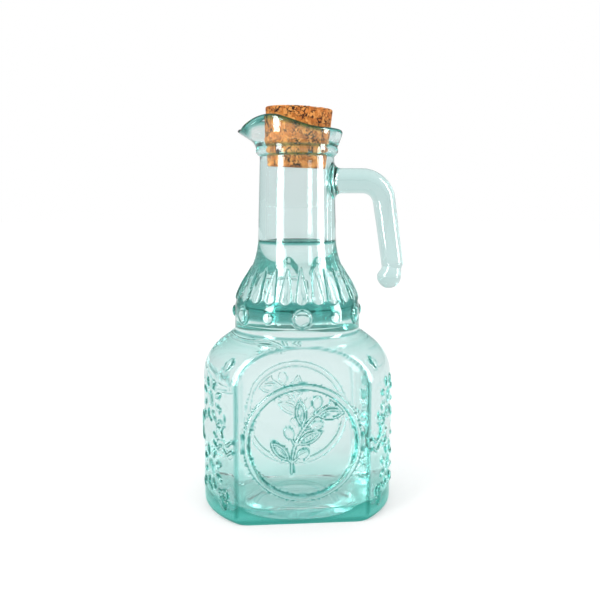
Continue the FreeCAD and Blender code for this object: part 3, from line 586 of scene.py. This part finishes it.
def edgeShade(mesh, parts):
    step = shadeMarks["edgeStep"]
    wayX, wayY = crossways(mesh, step)
    across = relief(parts, wayX, wayY) - relief(parts, -wayX, -wayY)
    upwards = relief(parts, 0, 0, step) - relief(parts, 0, 0, -step)
    return np.clip(np.hypot(across, upwards) / (2 * step) / shadeMarks["edgeSteep"], 0, 1) ** shadeMarks["edgePower"]


def paintEdgeShade(mesh, raised):  # painted shade: darker teal along the relief's edges, the panel's fold, the lip, foot, rim and a few lines, where refraction and long paths darken real glass
    parts = surfaceParts(mesh)
    x, y, z = (parts[name] for name in "xyz")
    inside, rise = readLayer(mesh, "inside"), readLayer(mesh, "rise")
    turned, onWall = turnedForm(mesh)
    fold = bell(turned - flatRadius(np.arctan2(y, x), glass["panelDistance"]), shadeMarks["foldWidth"])
    fold = np.where(onWall & (z < ornament["foldTop"]), fold, 0)
    lines = sum(strength * bell(z - level, width) for level, width, strength in shadeMarks["lines"])
    lines = np.where(parts["outside"] | ((inside < 0.1) & (z < shadeMarks["rimFrom"])), lines, 0)
    onFoot = (z < shadeMarks["footTop"]) & between(np.hypot(x, y), shadeMarks["footRing"])
    lipEnd = np.clip((shadeMarks["lipFrom"] - x) / shadeMarks["lipFade"], 0, 1)
    lipEnd = np.where((z > shadeMarks["rimFrom"]) & (rise >= 0), lipEnd, 0)
    isEdge = (rise >= 0) & (inside > 0.4) & (inside < 0.6)
    rimShade = np.where(isEdge, 1, np.clip(rise * 8 - 7, 0, 0.5))
    shares = (edgeShade(mesh, parts), shadeMarks["fold"] * fold, shadeMarks["lip"] * lipEnd, shadeMarks["foot"] * onFoot,
              shadeMarks["rim"] * rimShade, lines)
    writeLayer(mesh, "paintedShade", np.maximum.reduce(shares))
    # painted shade: a darker band round the collar, left off the raised beads
    bandShade = np.clip((z - shadeMarks["bandLow"]) / shadeMarks["bandFadeLow"], 0, 1)
    bandShade = bandShade * np.clip((shadeMarks["bandHigh"] - z) / shadeMarks["bandFadeHigh"], 0, 1)
    bandShade = np.where(parts["outside"], bandShade * np.clip(1 - raised / shadeMarks["bandBare"], 0, 1), 0)
    writeLayer(mesh, "paintedBand", shadeMarks["band"] * bandShade)


for reach, least in ornament["refine"]:
    refineMesh(bottleMesh, reach, least)
raised = relief(surfaceParts(bottleMesh))
paintEdgeShade(bottleMesh, raised)
writePoints(bottleMesh, readPoints(bottleMesh) + readNormals(bottleMesh) * raised[:, None])
print("ornament raised", int((raised > 0.05).sum()))


# handle, drawn out of the neck

handle = {
    "level": 152.05, "rod": 5.9, "rodEnd": 5.2, "thinning": 1.3, "rootRound": 3.2, "rootRings": 7,
    "patch": (14.0, 19.0), "easeReach": 2.4, "easeGap": 0.15, "easeSteps": 8,
    "start": (23.6, 26.0, 28.5, 31.0), "bendRadius": 10.75, "bendRings": 14,
    "end": (46.0, 112.0), "straightRings": 9,
    # the hanging drop: out from the axis, height, radius
    "drop": ((45.85, 111.3, 5.1), (45.6, 110.6, 5.05), (45.25, 109.8, 5.15), (44.85, 108.8, 5.45),
             (44.55, 107.7, 5.7), (44.4, 106.5, 5.75), (44.4, 105.3, 5.62), (44.4, 104.1, 5.22),
             (44.4, 103.0, 4.55), (44.4, 102.1, 3.7), (44.4, 101.4, 2.68), (44.4, 100.95, 1.6),
             (44.4, 100.78, 0.8)),
    "levelOver": 6.0, "tip": (44.4, 0, 100.75),
}
rootSize = handle["rod"] + handle["rootRound"]


def neckRadius(z):
    foot, top = outer["neckFoot"], outer["neckTop"]
    return np.interp(z, (foot[1], top[1]), (foot[0], top[0]))


def handleRings():
    level, rod, size = handle["level"], handle["rod"], handle["rootRound"]
    rings = []
    for k in range(1, handle["rootRings"] + 1):
        turn = math.radians(90 * k / handle["rootRings"])
        rings.append(("root", rod + size * (1 - math.sin(turn)), size * (1 - math.cos(turn))))
    bend, end = handle["bendRadius"], np.array(handle["end"])
    centre = np.array((handle["start"][-1], level - bend))
    toEnd = end - centre
    lean = math.atan2(toEnd[1], toEnd[0]) + math.acos(bend / np.hypot(*toEnd))
    path = [((px, level), 0.0) for px in handle["start"]]
    for k in range(1, handle["bendRings"] + 1):
        turn = math.pi / 2 + (lean - math.pi / 2) * k / handle["bendRings"]
        path.append((tuple(along(centre, turn, bend)), turn - math.pi / 2))
    hanging = straightPoints(path[-1][0], end, handle["straightRings"])
    path += [(place, lean - math.pi / 2) for place in hanging]
    bendAt = len(handle["start"])
    for k, (place, turn) in enumerate(path):
        share = max(0.0, (k - bendAt) / (len(path) - bendAt - 1))
        thinned = (handle["rodEnd"] - rod) * min(1, share * handle["thinning"])
        rings.append(("rod", place, turn, rod + thinned))
    for px, pz, size in handle["drop"]:
        settled = min(1.0, (end[1] - pz) / handle["levelOver"])  # the rings turn level as the drop rounds off
        rings.append(("rod", (px, pz), (lean - math.pi / 2) * (1 - settled) - math.pi / 2 * settled, size))
    return rings


def ringPoint(ring, turn):
    if ring[0] == "root":
        across, up = ring[1] * math.cos(turn), handle["level"] + ring[1] * math.sin(turn)
        return Vector((math.sqrt(neckRadius(up) ** 2 - across ** 2) + ring[2], across, up)) * mm
    (px, pz), lean, size = ring[1:]
    up = size * math.sin(turn)
    return Vector((px - up * math.sin(lean), size * math.cos(turn), pz + up * math.cos(lean))) * mm


def fromRod(co):
    return math.hypot(co.y / mm, co.z / mm - handle["level"])


def openNeck(bm, insideLayer):  # a round hole in the neck's wall where the handle's root starts
    low, high = (x * mm for x in handle["patch"])
    patch = [f for f in bm.faces if f.verts[0][insideLayer] < 0.1 and low < f.calc_center_median().x < high
             and fromRod(f.calc_center_median()) < rootSize]
    bmesh.ops.delete(bm, geom=patch, context="FACES")
    return [e for e in bm.edges if e.is_boundary]


def easeNeck(bm, insideLayer, kept):  # spreads the wall's mesh evenly round the hole
    low, high = (handle["patch"][0] - 2) * mm, handle["patch"][1] * mm
    near = [v for v in bm.verts if v not in kept and low < v.co.x < high and v[insideLayer] < 0.1
            and rootSize < fromRod(v.co) < rootSize + handle["easeReach"]]
    least = rootSize + handle["easeGap"]
    for repeat in range(handle["easeSteps"]):
        bmesh.ops.smooth_vert(bm, verts=near, factor=0.5, use_axis_x=True, use_axis_y=True, use_axis_z=True)
        for vert in near:
            push = max(1.0, least / fromRod(vert.co))
            vert.co.y *= push
            vert.co.z = (handle["level"] + (vert.co.z / mm - handle["level"]) * push) * mm
            vert.co.x = math.sqrt((neckRadius(vert.co.z / mm) * mm) ** 2 - vert.co.y ** 2)


def growHandle(mesh):
    bm = bmesh.new()
    bm.from_mesh(mesh)
    insideLayer, turnLayer = bm.verts.layers.float["inside"], bm.verts.layers.float.new("turn")
    ringEdges = openNeck(bm, insideLayer)
    ringVerts = {v for e in ringEdges for v in e.verts}
    for vert in ringVerts:
        vert[turnLayer] = math.atan2(vert.co.z / mm - handle["level"], vert.co.y / mm)
        vert.co = ringPoint(("root", rootSize, 0.0), vert[turnLayer])
    easeNeck(bm, insideLayer, ringVerts)
    for ring in handleRings():
        grown = bmesh.ops.extrude_edge_only(bm, edges=ringEdges)["geom"]
        ringEdges = [g for g in grown if isinstance(g, bmesh.types.BMEdge) and g.is_boundary]
        for vert in (g for g in grown if isinstance(g, bmesh.types.BMVert)):
            vert.co = ringPoint(ring, vert[turnLayer])
    endVerts = list({v for e in ringEdges for v in e.verts})
    bmesh.ops.pointmerge(bm, verts=endVerts, merge_co=Vector(handle["tip"]) * mm)
    bmesh.ops.recalc_face_normals(bm, faces=bm.faces)
    print("handle grown, open edges left:", sum(1 for e in bm.edges if not e.is_manifold),
          "triangles", sum(len(f.verts) - 2 for f in bm.faces))
    bm.to_mesh(mesh)
    bm.free()
    for name in ("inside", "share", "rise", "turn"):
        mesh.attributes.remove(mesh.attributes[name])


growHandle(bottleMesh)


# materials for glass and liquid

def newMaterial(name):
    material = bpy.data.materials.new(name)
    material.use_nodes = True
    tree = material.node_tree
    return material, tree, tree.nodes["Principled BSDF"]


def give(tree, socket, value):  # a number or colour is set, another node's output is linked
    if isinstance(value, bpy.types.NodeSocket):
        tree.links.new(value, socket)
    else:
        socket.default_value = value


def addNode(tree, kind, inputs=(), **settings):
    node = tree.nodes.new(kind)
    for key, value in settings.items():
        setattr(node, key, value)
    for key, value in dict(inputs).items():
        give(tree, node.inputs[key], value)
    return node


def mathNode(tree, operation, *values):
    return addNode(tree, "ShaderNodeMath", enumerate(values), operation=operation).outputs[0]


def mixValues(tree, factor, first, second):
    return addNode(tree, "ShaderNodeMix", {0: factor, 2: first, 3: second}, data_type="FLOAT").outputs[0]


def mixColours(tree, factor, first, second):
    return addNode(tree, "ShaderNodeMix", {0: factor, 6: first, 7: second}, data_type="RGBA").outputs[2]


def mapRange(tree, value, low, high, top=1.0, **settings):
    inputs = {"Value": value, "From Min": low, "From Max": high, "To Max": top}
    return addNode(tree, "ShaderNodeMapRange", inputs, **settings).outputs[0]


def noiseNode(tree, place, scale, detail, **inputs):
    inputs = {"Vector": place, "Scale": scale, "Detail": detail, **inputs}
    return addNode(tree, "ShaderNodeTexNoise", inputs)


def layerValue(tree, name):
    return addNode(tree, "ShaderNodeAttribute", attribute_name=name).outputs["Fac"]


def objectPlace(tree, scale=(1, 1, 1)):
    place = addNode(tree, "ShaderNodeTexCoord")
    return addNode(tree, "ShaderNodeMapping", {"Vector": place.outputs["Object"], "Scale": scale}).outputs[0]


def addBump(tree, shader, height, **inputs):
    bump = addNode(tree, "ShaderNodeBump", {"Height": height, **inputs})
    tree.links.new(bump.outputs["Normal"], shader.inputs["Normal"])


def deepGroup():
    group = bpy.data.node_groups.new("paintedShadeGroup", "ShaderNodeTree")
    group.interface.new_socket("Shade", in_out="INPUT", socket_type="NodeSocketColor")
    group.interface.new_socket("Amount", in_out="INPUT", socket_type="NodeSocketFloat")
    group.interface.new_socket("Colour", in_out="OUTPUT", socket_type="NodeSocketColor")
    given, result = group.nodes.new("NodeGroupInput"), group.nodes.new("NodeGroupOutput")
    power = group.nodes.new("ShaderNodeGamma")  # white where the amount is 0, the painted shade colour where it is 1
    group.links.new(given.outputs["Shade"], power.inputs["Color"])
    group.links.new(given.outputs["Amount"], power.inputs["Gamma"])
    group.links.new(power.outputs["Color"], result.inputs["Colour"])
    return group


paintedShadeGroup = deepGroup()


def paintShade(tree, shader, amount):
    node = addNode(tree, "ShaderNodeGroup", {"Shade": glass["shadeColour"], "Amount": amount}, node_tree=paintedShadeGroup)
    tree.links.new(node.outputs["Colour"], shader.inputs["Base Color"])


def makeClear(shader, ior):
    shader.inputs["Roughness"].default_value = 0.0
    shader.inputs["IOR"].default_value = ior
    shader.inputs["Transmission Weight"].default_value = 1.0


def glassMaterial():
    material, tree, shader = newMaterial("tintedGlass")
    # painted shade: the glass is drawn darker teal along the stored edge and band masks
    edges, band = layerValue(tree, "paintedShade"), layerValue(tree, "paintedBand")
    sight = addNode(tree, "ShaderNodeNewGeometry")
    near = mathNode(tree, "MAXIMUM", edges, band)
    far = mathNode(tree, "MULTIPLY", edges, glass["farSide"])  # fainter where seen through the near wall
    paintShade(tree, shader, mixValues(tree, sight.outputs["Backfacing"], near, far))
    makeClear(shader, glass["ior"])
    wave = noiseNode(tree, objectPlace(tree, glass["waveStretch"]), glass["waveScale"], 1.5, Roughness=0.4)
    addBump(tree, shader, wave.outputs["Fac"], Strength=glass["waviness"], Distance=glass["waveDepth"])
    inputs = {"Color": glass["tint"], "Density": glass["tintDensity"]}
    tint = addNode(tree, "ShaderNodeVolumeAbsorption", inputs)
    tree.links.new(tint.outputs["Volume"], tree.nodes["Material Output"].inputs["Volume"])
    return material


addPiece("glassBottle", bottleMesh, "glass_bottle", glassMaterial())
print("glass finished")

# liquid, reaching just into the wall so that no air shows between

liquid = {
    "level": 123.0, "climb": 1.0, "climbReach": 1.5, "climbGap": 0.2, "into": 0.12, "steps": 240, "ior": 1.46,
    "brimSteps": (0, 0.12, 0.3, 0.55, 0.9, 1.4, 2.0, 2.9, 4.2, 6.0, 9.0, 12.0),  # inward from the wall
    "brimShade": 0.6, "brimDepth": 0.3, "brimWidth": 4.4, "flatsTop": 90.0, "floorInner": 10.0,
}


def filledPlaces():
    into = liquid["into"]
    slant = into * 0.7
    shifts = dict.fromkeys(("wallFoot", "wallTop", "collarFoot", "collarTop", "flare", "boreFoot"), (into, 0))
    shifts.update(dict.fromkeys(("floorMiddle", "floorRise", "floorEdge"), (0, -into)))
    shifts.update(dict.fromkeys(("shoulder", "shoulderTop"), (slant, slant)))
    filled = {name: (hollow[name][0] + out, hollow[name][1] + up) for name, (out, up) in shifts.items()}
    filled["floorInner"] = (liquid["floorInner"], filled["floorMiddle"][1])
    return filled


def liquidProfile():
    into, filled = liquid["into"], filledPlaces()
    rows = outlineRows(
        filled, "floorMiddle", ("floorInner", 1), ("floorRise", 2), ("floorEdge", 4),
        ("wallFoot", 12, rounds["floorInside"] + into, -1), ("wallTop", 6),
        ("shoulder", 18, rounds["shoulderInside"] + into, -1), ("shoulderTop", 3),
        ("collarFoot", 10, rounds["collarInside"], -1), ("collarTop", 2), ("flare", 10, rounds["flare"], -1))
    wall = arcPoints(filled["flare"], filled["boreFoot"], rounds["neck"], 1, 60)
    top = liquid["level"] + liquid["climb"]
    rows += [row for row in wall[::3] if row[1] < top - liquid["climbGap"]]
    brim = np.interp(top, [w[1] for w in wall], [w[0] for w in wall])
    for inward in liquid["brimSteps"]:
        climb = liquid["climb"] * math.exp(-inward / liquid["climbReach"])
        rows.append((brim - inward, liquid["level"] + climb))
    return rows + [(0.0, liquid["level"])]


def pourLiquid():
    bm = bmesh.new()
    spinInto(bm, liquidProfile(), liquid["steps"])
    bmesh.ops.recalc_face_normals(bm, faces=bm.faces)
    mesh = toMesh(bm, "liquidFill")
    radius, angle, z = polar(readPoints(mesh))
    flattened = onFlats(radius, angle, glass["cavityPanel"] + liquid["into"], glass["cavitySoftness"])
    onBody = (radius > glass["flatsOutside"]) & (z < liquid["flatsTop"])
    radius = np.where(onBody, flattened, radius)
    writeRound(mesh, radius, angle, z)
    # painted shade: a darker ring where the liquid's surface meets the neck
    brimInner = neckRadius(liquid["level"]) - liquid["brimWidth"]
    brim = (z > liquid["level"] - liquid["brimDepth"]) & (radius > brimInner)
    writeLayer(mesh, "paintedShade", np.where(brim, liquid["brimShade"], 0))
    return mesh


def liquidMaterial():
    material, tree, shader = newMaterial("clearLiquid")
    paintShade(tree, shader, layerValue(tree, "paintedShade"))
    makeClear(shader, liquid["ior"])
    return material


liquidMesh = pourLiquid()
addPiece("liquidFill", liquidMesh, "oil", liquidMaterial())
print("liquid poured", len(liquidMesh.vertices))

# cork stopper

cork = {
    "top": 15.65, "bottom": 13.7, "length": 27.5, "chamfer": 0.8, "clearance": 0.03, "steps": 200,
    "topCentre": 185.4, "leanX": 2.4, "leanY": 2.5, "pivot": 163.9,
    "grain": 2.4, "crease": 0.18, "creaseSpread": 0.4, "pit": 0.42, "pitSpread": 0.33, "pitFrom": 0.22,
    "creaseShare": 0.35, "pitSlope": 2.2, "rough": 0.06, "roughSpread": 1.7,
    "light": (0.88, 0.37, 0.095, 1), "middle": (0.66, 0.205, 0.037, 1), "dark": (0.36, 0.088, 0.015, 1),
    "crack": (0.035, 0.012, 0.005, 1), "paintedTopLight": (0.95, 0.72, 0.5, 1), "paintedTopShare": 0.72,
    "capFacing": (0.6, 0.95),
    "granules": 620.0, "warp": 520.0, "warpBy": (0.0022, 0.0022, 0.0022),
    "fine": 1500.0, "fineShare": 0.55, "fineHeight": 0.4,
    "tones": ((0.18, "dark"), (0.45, "middle"), (0.72, "light")),
    "cracks": 330.0, "crackFrom": 0.47, "crackTo": 0.66, "crackWide": 0.16, "crackEdge": 0.035,
    "specks": 900.0, "speckFrom": 0.64,
}


def corkProfile():
    c, low, high, length = cork["chamfer"], cork["bottom"], cork["top"], cork["length"]
    places = {"bottom": (0.0, 0.0), "bottomEdge": (low - c, 0.0), "sideFoot": (low, c),
              "sideTop": (high, length - c), "topEdge": (high - c, length), "top": (0.0, length)}
    return outlineRows(places, "bottom", ("bottomEdge", 22), ("sideFoot", 3, c, -1), ("sideTop", 58),
                       ("topEdge", 3, c, -1), ("top", 32))


def roughen(bm):
    bm.normal_update()
    for vert in bm.verts:
        place = vert.co / mm
        grain = noise.voronoi(place / cork["grain"])
        broken = max(0.0, min(1.0, noise.noise(place * cork["creaseSpread"]) * 3 + 0.4))
        crease = max(0.0, 1 - (grain[0][1] - grain[0][0]) / cork["crease"]) * broken
        pit = max(0.0, noise.noise(place * cork["pitSpread"]) - cork["pitFrom"]) * cork["pitSlope"]
        rough = noise.noise(place * cork["roughSpread"]) * cork["rough"]
        vert.co += vert.normal * mm * (rough - cork["pit"] * (cork["creaseShare"] * crease + min(pit, 1.0)))


def leanCork(bm):
    axis = Vector((math.tan(math.radians(cork["leanX"])), -math.tan(math.radians(cork["leanY"])), 1))
    turn = Vector((0, 0, 1)).rotation_difference(axis)
    down = (cork["topCentre"] - cork["pivot"]) / turn.to_matrix()[2][2] - cork["length"]
    for vert in bm.verts:
        place = turn @ Vector((vert.co.x, vert.co.y, vert.co.z + down * mm))
        vert.co = place + Vector((0, 0, cork["pivot"])) * mm


def cutCork():
    bm = bmesh.new()
    spinInto(bm, corkProfile(), cork["steps"])
    bmesh.ops.recalc_face_normals(bm, faces=bm.faces)
    roughen(bm)
    leanCork(bm)
    mesh = toMesh(bm, "corkStopper")
    radius, angle, z = polar(readPoints(mesh))
    mouth = lipOutline(rim["mouth"], np.maximum(z, rim["mouthBase"]), aroundLip(angle))
    wall = np.where(z < rim["boreTop"], rim["bore"], mouth)
    writeRound(mesh, np.minimum(radius, wall - cork["clearance"]), angle, z)  # squeezed to the mouth
    return mesh


def corkTones(tree, place, fine):
    warp = noiseNode(tree, place, cork["warp"], 3.0)
    inputs = {0: warp.outputs["Color"], 1: cork["warpBy"], 2: place}
    warped = addNode(tree, "ShaderNodeVectorMath", inputs, operation="MULTIPLY_ADD").outputs[0]
    inputs = {"Vector": warped, "Scale": cork["granules"]}
    cells = addNode(tree, "ShaderNodeTexVoronoi", inputs)
    edges = addNode(tree, "ShaderNodeTexVoronoi", inputs, feature="DISTANCE_TO_EDGE")
    split = addNode(tree, "ShaderNodeSeparateColor", {"Color": cells.outputs["Color"]})
    spread = mixValues(tree, cork["fineShare"], split.outputs[0], fine)
    ramp = addNode(tree, "ShaderNodeValToRGB", {"Fac": spread})
    stops = ramp.color_ramp.elements
    stops.new(cork["tones"][-1][0])
    for stop, (at, name) in zip(stops, cork["tones"]):
        stop.position, stop.color = at, cork[name]
    return ramp.outputs["Color"], edges.outputs["Distance"]


def corkMaterial():
    material, tree, shader = newMaterial("granuleCork")
    place = objectPlace(tree)
    fine = noiseNode(tree, place, cork["fine"], 5.0, Roughness=0.7).outputs["Fac"]
    tone, edge = corkTones(tree, place, fine)
    facing = addNode(tree, "ShaderNodeNewGeometry")
    upward = addNode(tree, "ShaderNodeSeparateXYZ", {"Vector": facing.outputs["Normal"]})
    # painted light: the cork is drawn paler where it faces up
    paintedTopShare = mapRange(tree, upward.outputs["Z"], *cork["capFacing"], cork["paintedTopShare"])
    paler = mixColours(tree, paintedTopShare, tone, cork["paintedTopLight"])
    broken = noiseNode(tree, place, cork["cracks"], 2.0)  # cracks open only here and there
    width = mapRange(tree, broken.outputs["Fac"], cork["crackFrom"], cork["crackTo"], cork["crackWide"])
    specks = noiseNode(tree, place, cork["specks"], 2.0, Distortion=1.2)
    dots = mathNode(tree, "SUBTRACT", specks.outputs["Fac"], cork["speckFrom"])
    deepest = mathNode(tree, "MAXIMUM", mathNode(tree, "SUBTRACT", width, edge), dots)
    dark = mapRange(tree, deepest, 0.0, cork["crackEdge"])
    tree.links.new(mixColours(tree, dark, paler, cork["crack"]), shader.inputs["Base Color"])
    shader.inputs["Roughness"].default_value = 0.85
    shader.inputs["Specular IOR Level"].default_value = 0.2
    height = mathNode(tree, "SUBTRACT", mathNode(tree, "MULTIPLY", fine, cork["fineHeight"]), dark)
    addBump(tree, shader, height, Strength=0.5, Distance=0.0003)
    return material


corkMesh = cutCork()
addPiece("corkStopper", corkMesh, "cork_stopper", corkMaterial())
print("cork cut", len(corkMesh.vertices))


# floor, surroundings and lamps

studio = {
    "floorColour": (0.8, 0.8, 0.8, 1), "floorSize": 6.0,
    "floorLift": 0.33, "paintedUnderLift": 0.35, "liftFar": 0.15,
    # painted teal light and shade on the floor under the bottle, with its strength and reach
    "paintedUnderColour": (0.22, 0.78, 0.7, 1), "underFrom": 0.05, "underTo": 0.11, "white": (1, 1, 1, 1),
    "ambient": 0.85, "mirrored": 0.35, "through": 0.8,
    "camera": (-0.02492, -0.32757, 0.13984), "aim": (0.00141, 0.0, 0.10978), "lens": 41.52, "shift": -0.05,
}
lamps = {  # place, aim, width and height, power, and whether it shows only as a glint
    "softboxLeft": ((-1.1, -1.0, 0.75), (0, 0, 0.1), (0.45, 0.9), 8.0, False),
    "softboxRight": ((0.95, -1.15, 0.55), (0, 0, 0.1), (0.35, 0.7), 4.5, False),
    "stripLeft": ((-0.41, -0.275, 0.3), (0, 0, 0.3), (0.14, 0.58), 4.8, True),
    "stripRight": ((0.475, -0.14, 0.3), (0, 0, 0.3), (0.13, 0.58), 4.5, True),
}


def floorMaterial():
    material, tree, shader = newMaterial("palePaper")
    shader.inputs["Base Color"].default_value = studio["floorColour"]
    shader.inputs["Roughness"].default_value = 0.95
    shader.inputs["Specular IOR Level"].default_value = 0.0
    rays = addNode(tree, "ShaderNodeLightPath").outputs
    away = addNode(tree, "ShaderNodeVectorMath", {0: objectPlace(tree)}, operation="LENGTH").outputs["Value"]
    fade = mapRange(tree, away, studio["underFrom"], studio["underTo"], interpolation_type="SMOOTHSTEP")
    direct = mixValues(tree, rays["Is Camera Ray"], 0.0, studio["floorLift"])
    through = mixValues(tree, fade, studio["paintedUnderLift"], studio["liftFar"])
    lift = mixValues(tree, rays["Is Glossy Ray"], direct, through)
    tree.links.new(lift, shader.inputs["Emission Strength"])
    plain = mixValues(tree, rays["Is Camera Ray"], fade, 1.0)  # painted teal light and shade on the floor under the bottle, seen only in the glass
    tree.links.new(mixColours(tree, plain, studio["paintedUnderColour"], studio["white"]), shader.inputs["Emission Color"])
    return material


def layFloor():
    bm = bmesh.new()
    bmesh.ops.create_grid(bm, x_segments=4, y_segments=4, size=studio["floorSize"])
    mesh = toMesh(bm, "paleFloor")
    mesh.materials.append(floorMaterial())
    floor = bpy.data.objects.new("paleFloor", mesh)
    bpy.context.scene.collection.objects.link(floor)


def lightRoom():
    world = bpy.data.worlds.new("studio")
    bpy.context.scene.world = world
    world.use_nodes = True
    tree = world.node_tree
    rays = addNode(tree, "ShaderNodeLightPath").outputs
    level = mixValues(tree, rays["Is Glossy Ray"], studio["ambient"], studio["mirrored"])
    level = mixValues(tree, rays["Is Transmission Ray"], level, studio["through"])
    level = mixValues(tree, rays["Is Camera Ray"], level, 1.0)
    tree.links.new(level, tree.nodes["Background"].inputs["Strength"])
    tree.nodes["Background"].inputs["Color"].default_value = studio["white"]


def pointAt(holder, place, aim):
    holder.location = place
    holder.rotation_euler = (Vector(aim) - Vector(place)).to_track_quat("-Z", "Y").to_euler()
    bpy.context.scene.collection.objects.link(holder)


def hangLamp(name, place, aim, size, power, glint):
    light = bpy.data.lights.new(name, "AREA")
    light.shape, light.size, light.size_y, light.energy = "RECTANGLE", *size, power
    holder = bpy.data.objects.new(name, light)
    holder.visible_diffuse = not glint
    holder.visible_glossy = glint
    pointAt(holder, place, aim)


def setCamera():
    data = bpy.data.cameras.new("camera")
    data.lens, data.sensor_width, data.shift_y = studio["lens"], 36.0, studio["shift"]
    camera = bpy.data.objects.new("camera", data)
    pointAt(camera, studio["camera"], studio["aim"])
    bpy.context.scene.camera = camera


layFloor()
lightRoom()
for name, settings in lamps.items():
    hangLamp(name, *settings)
setCamera()
bpy.context.scene.view_settings.view_transform = "Standard"
bounces = bpy.context.scene.cycles
bounces.max_bounces, bounces.glossy_bounces, bounces.transmission_bounces = 32, 16, 32
print("studio set")
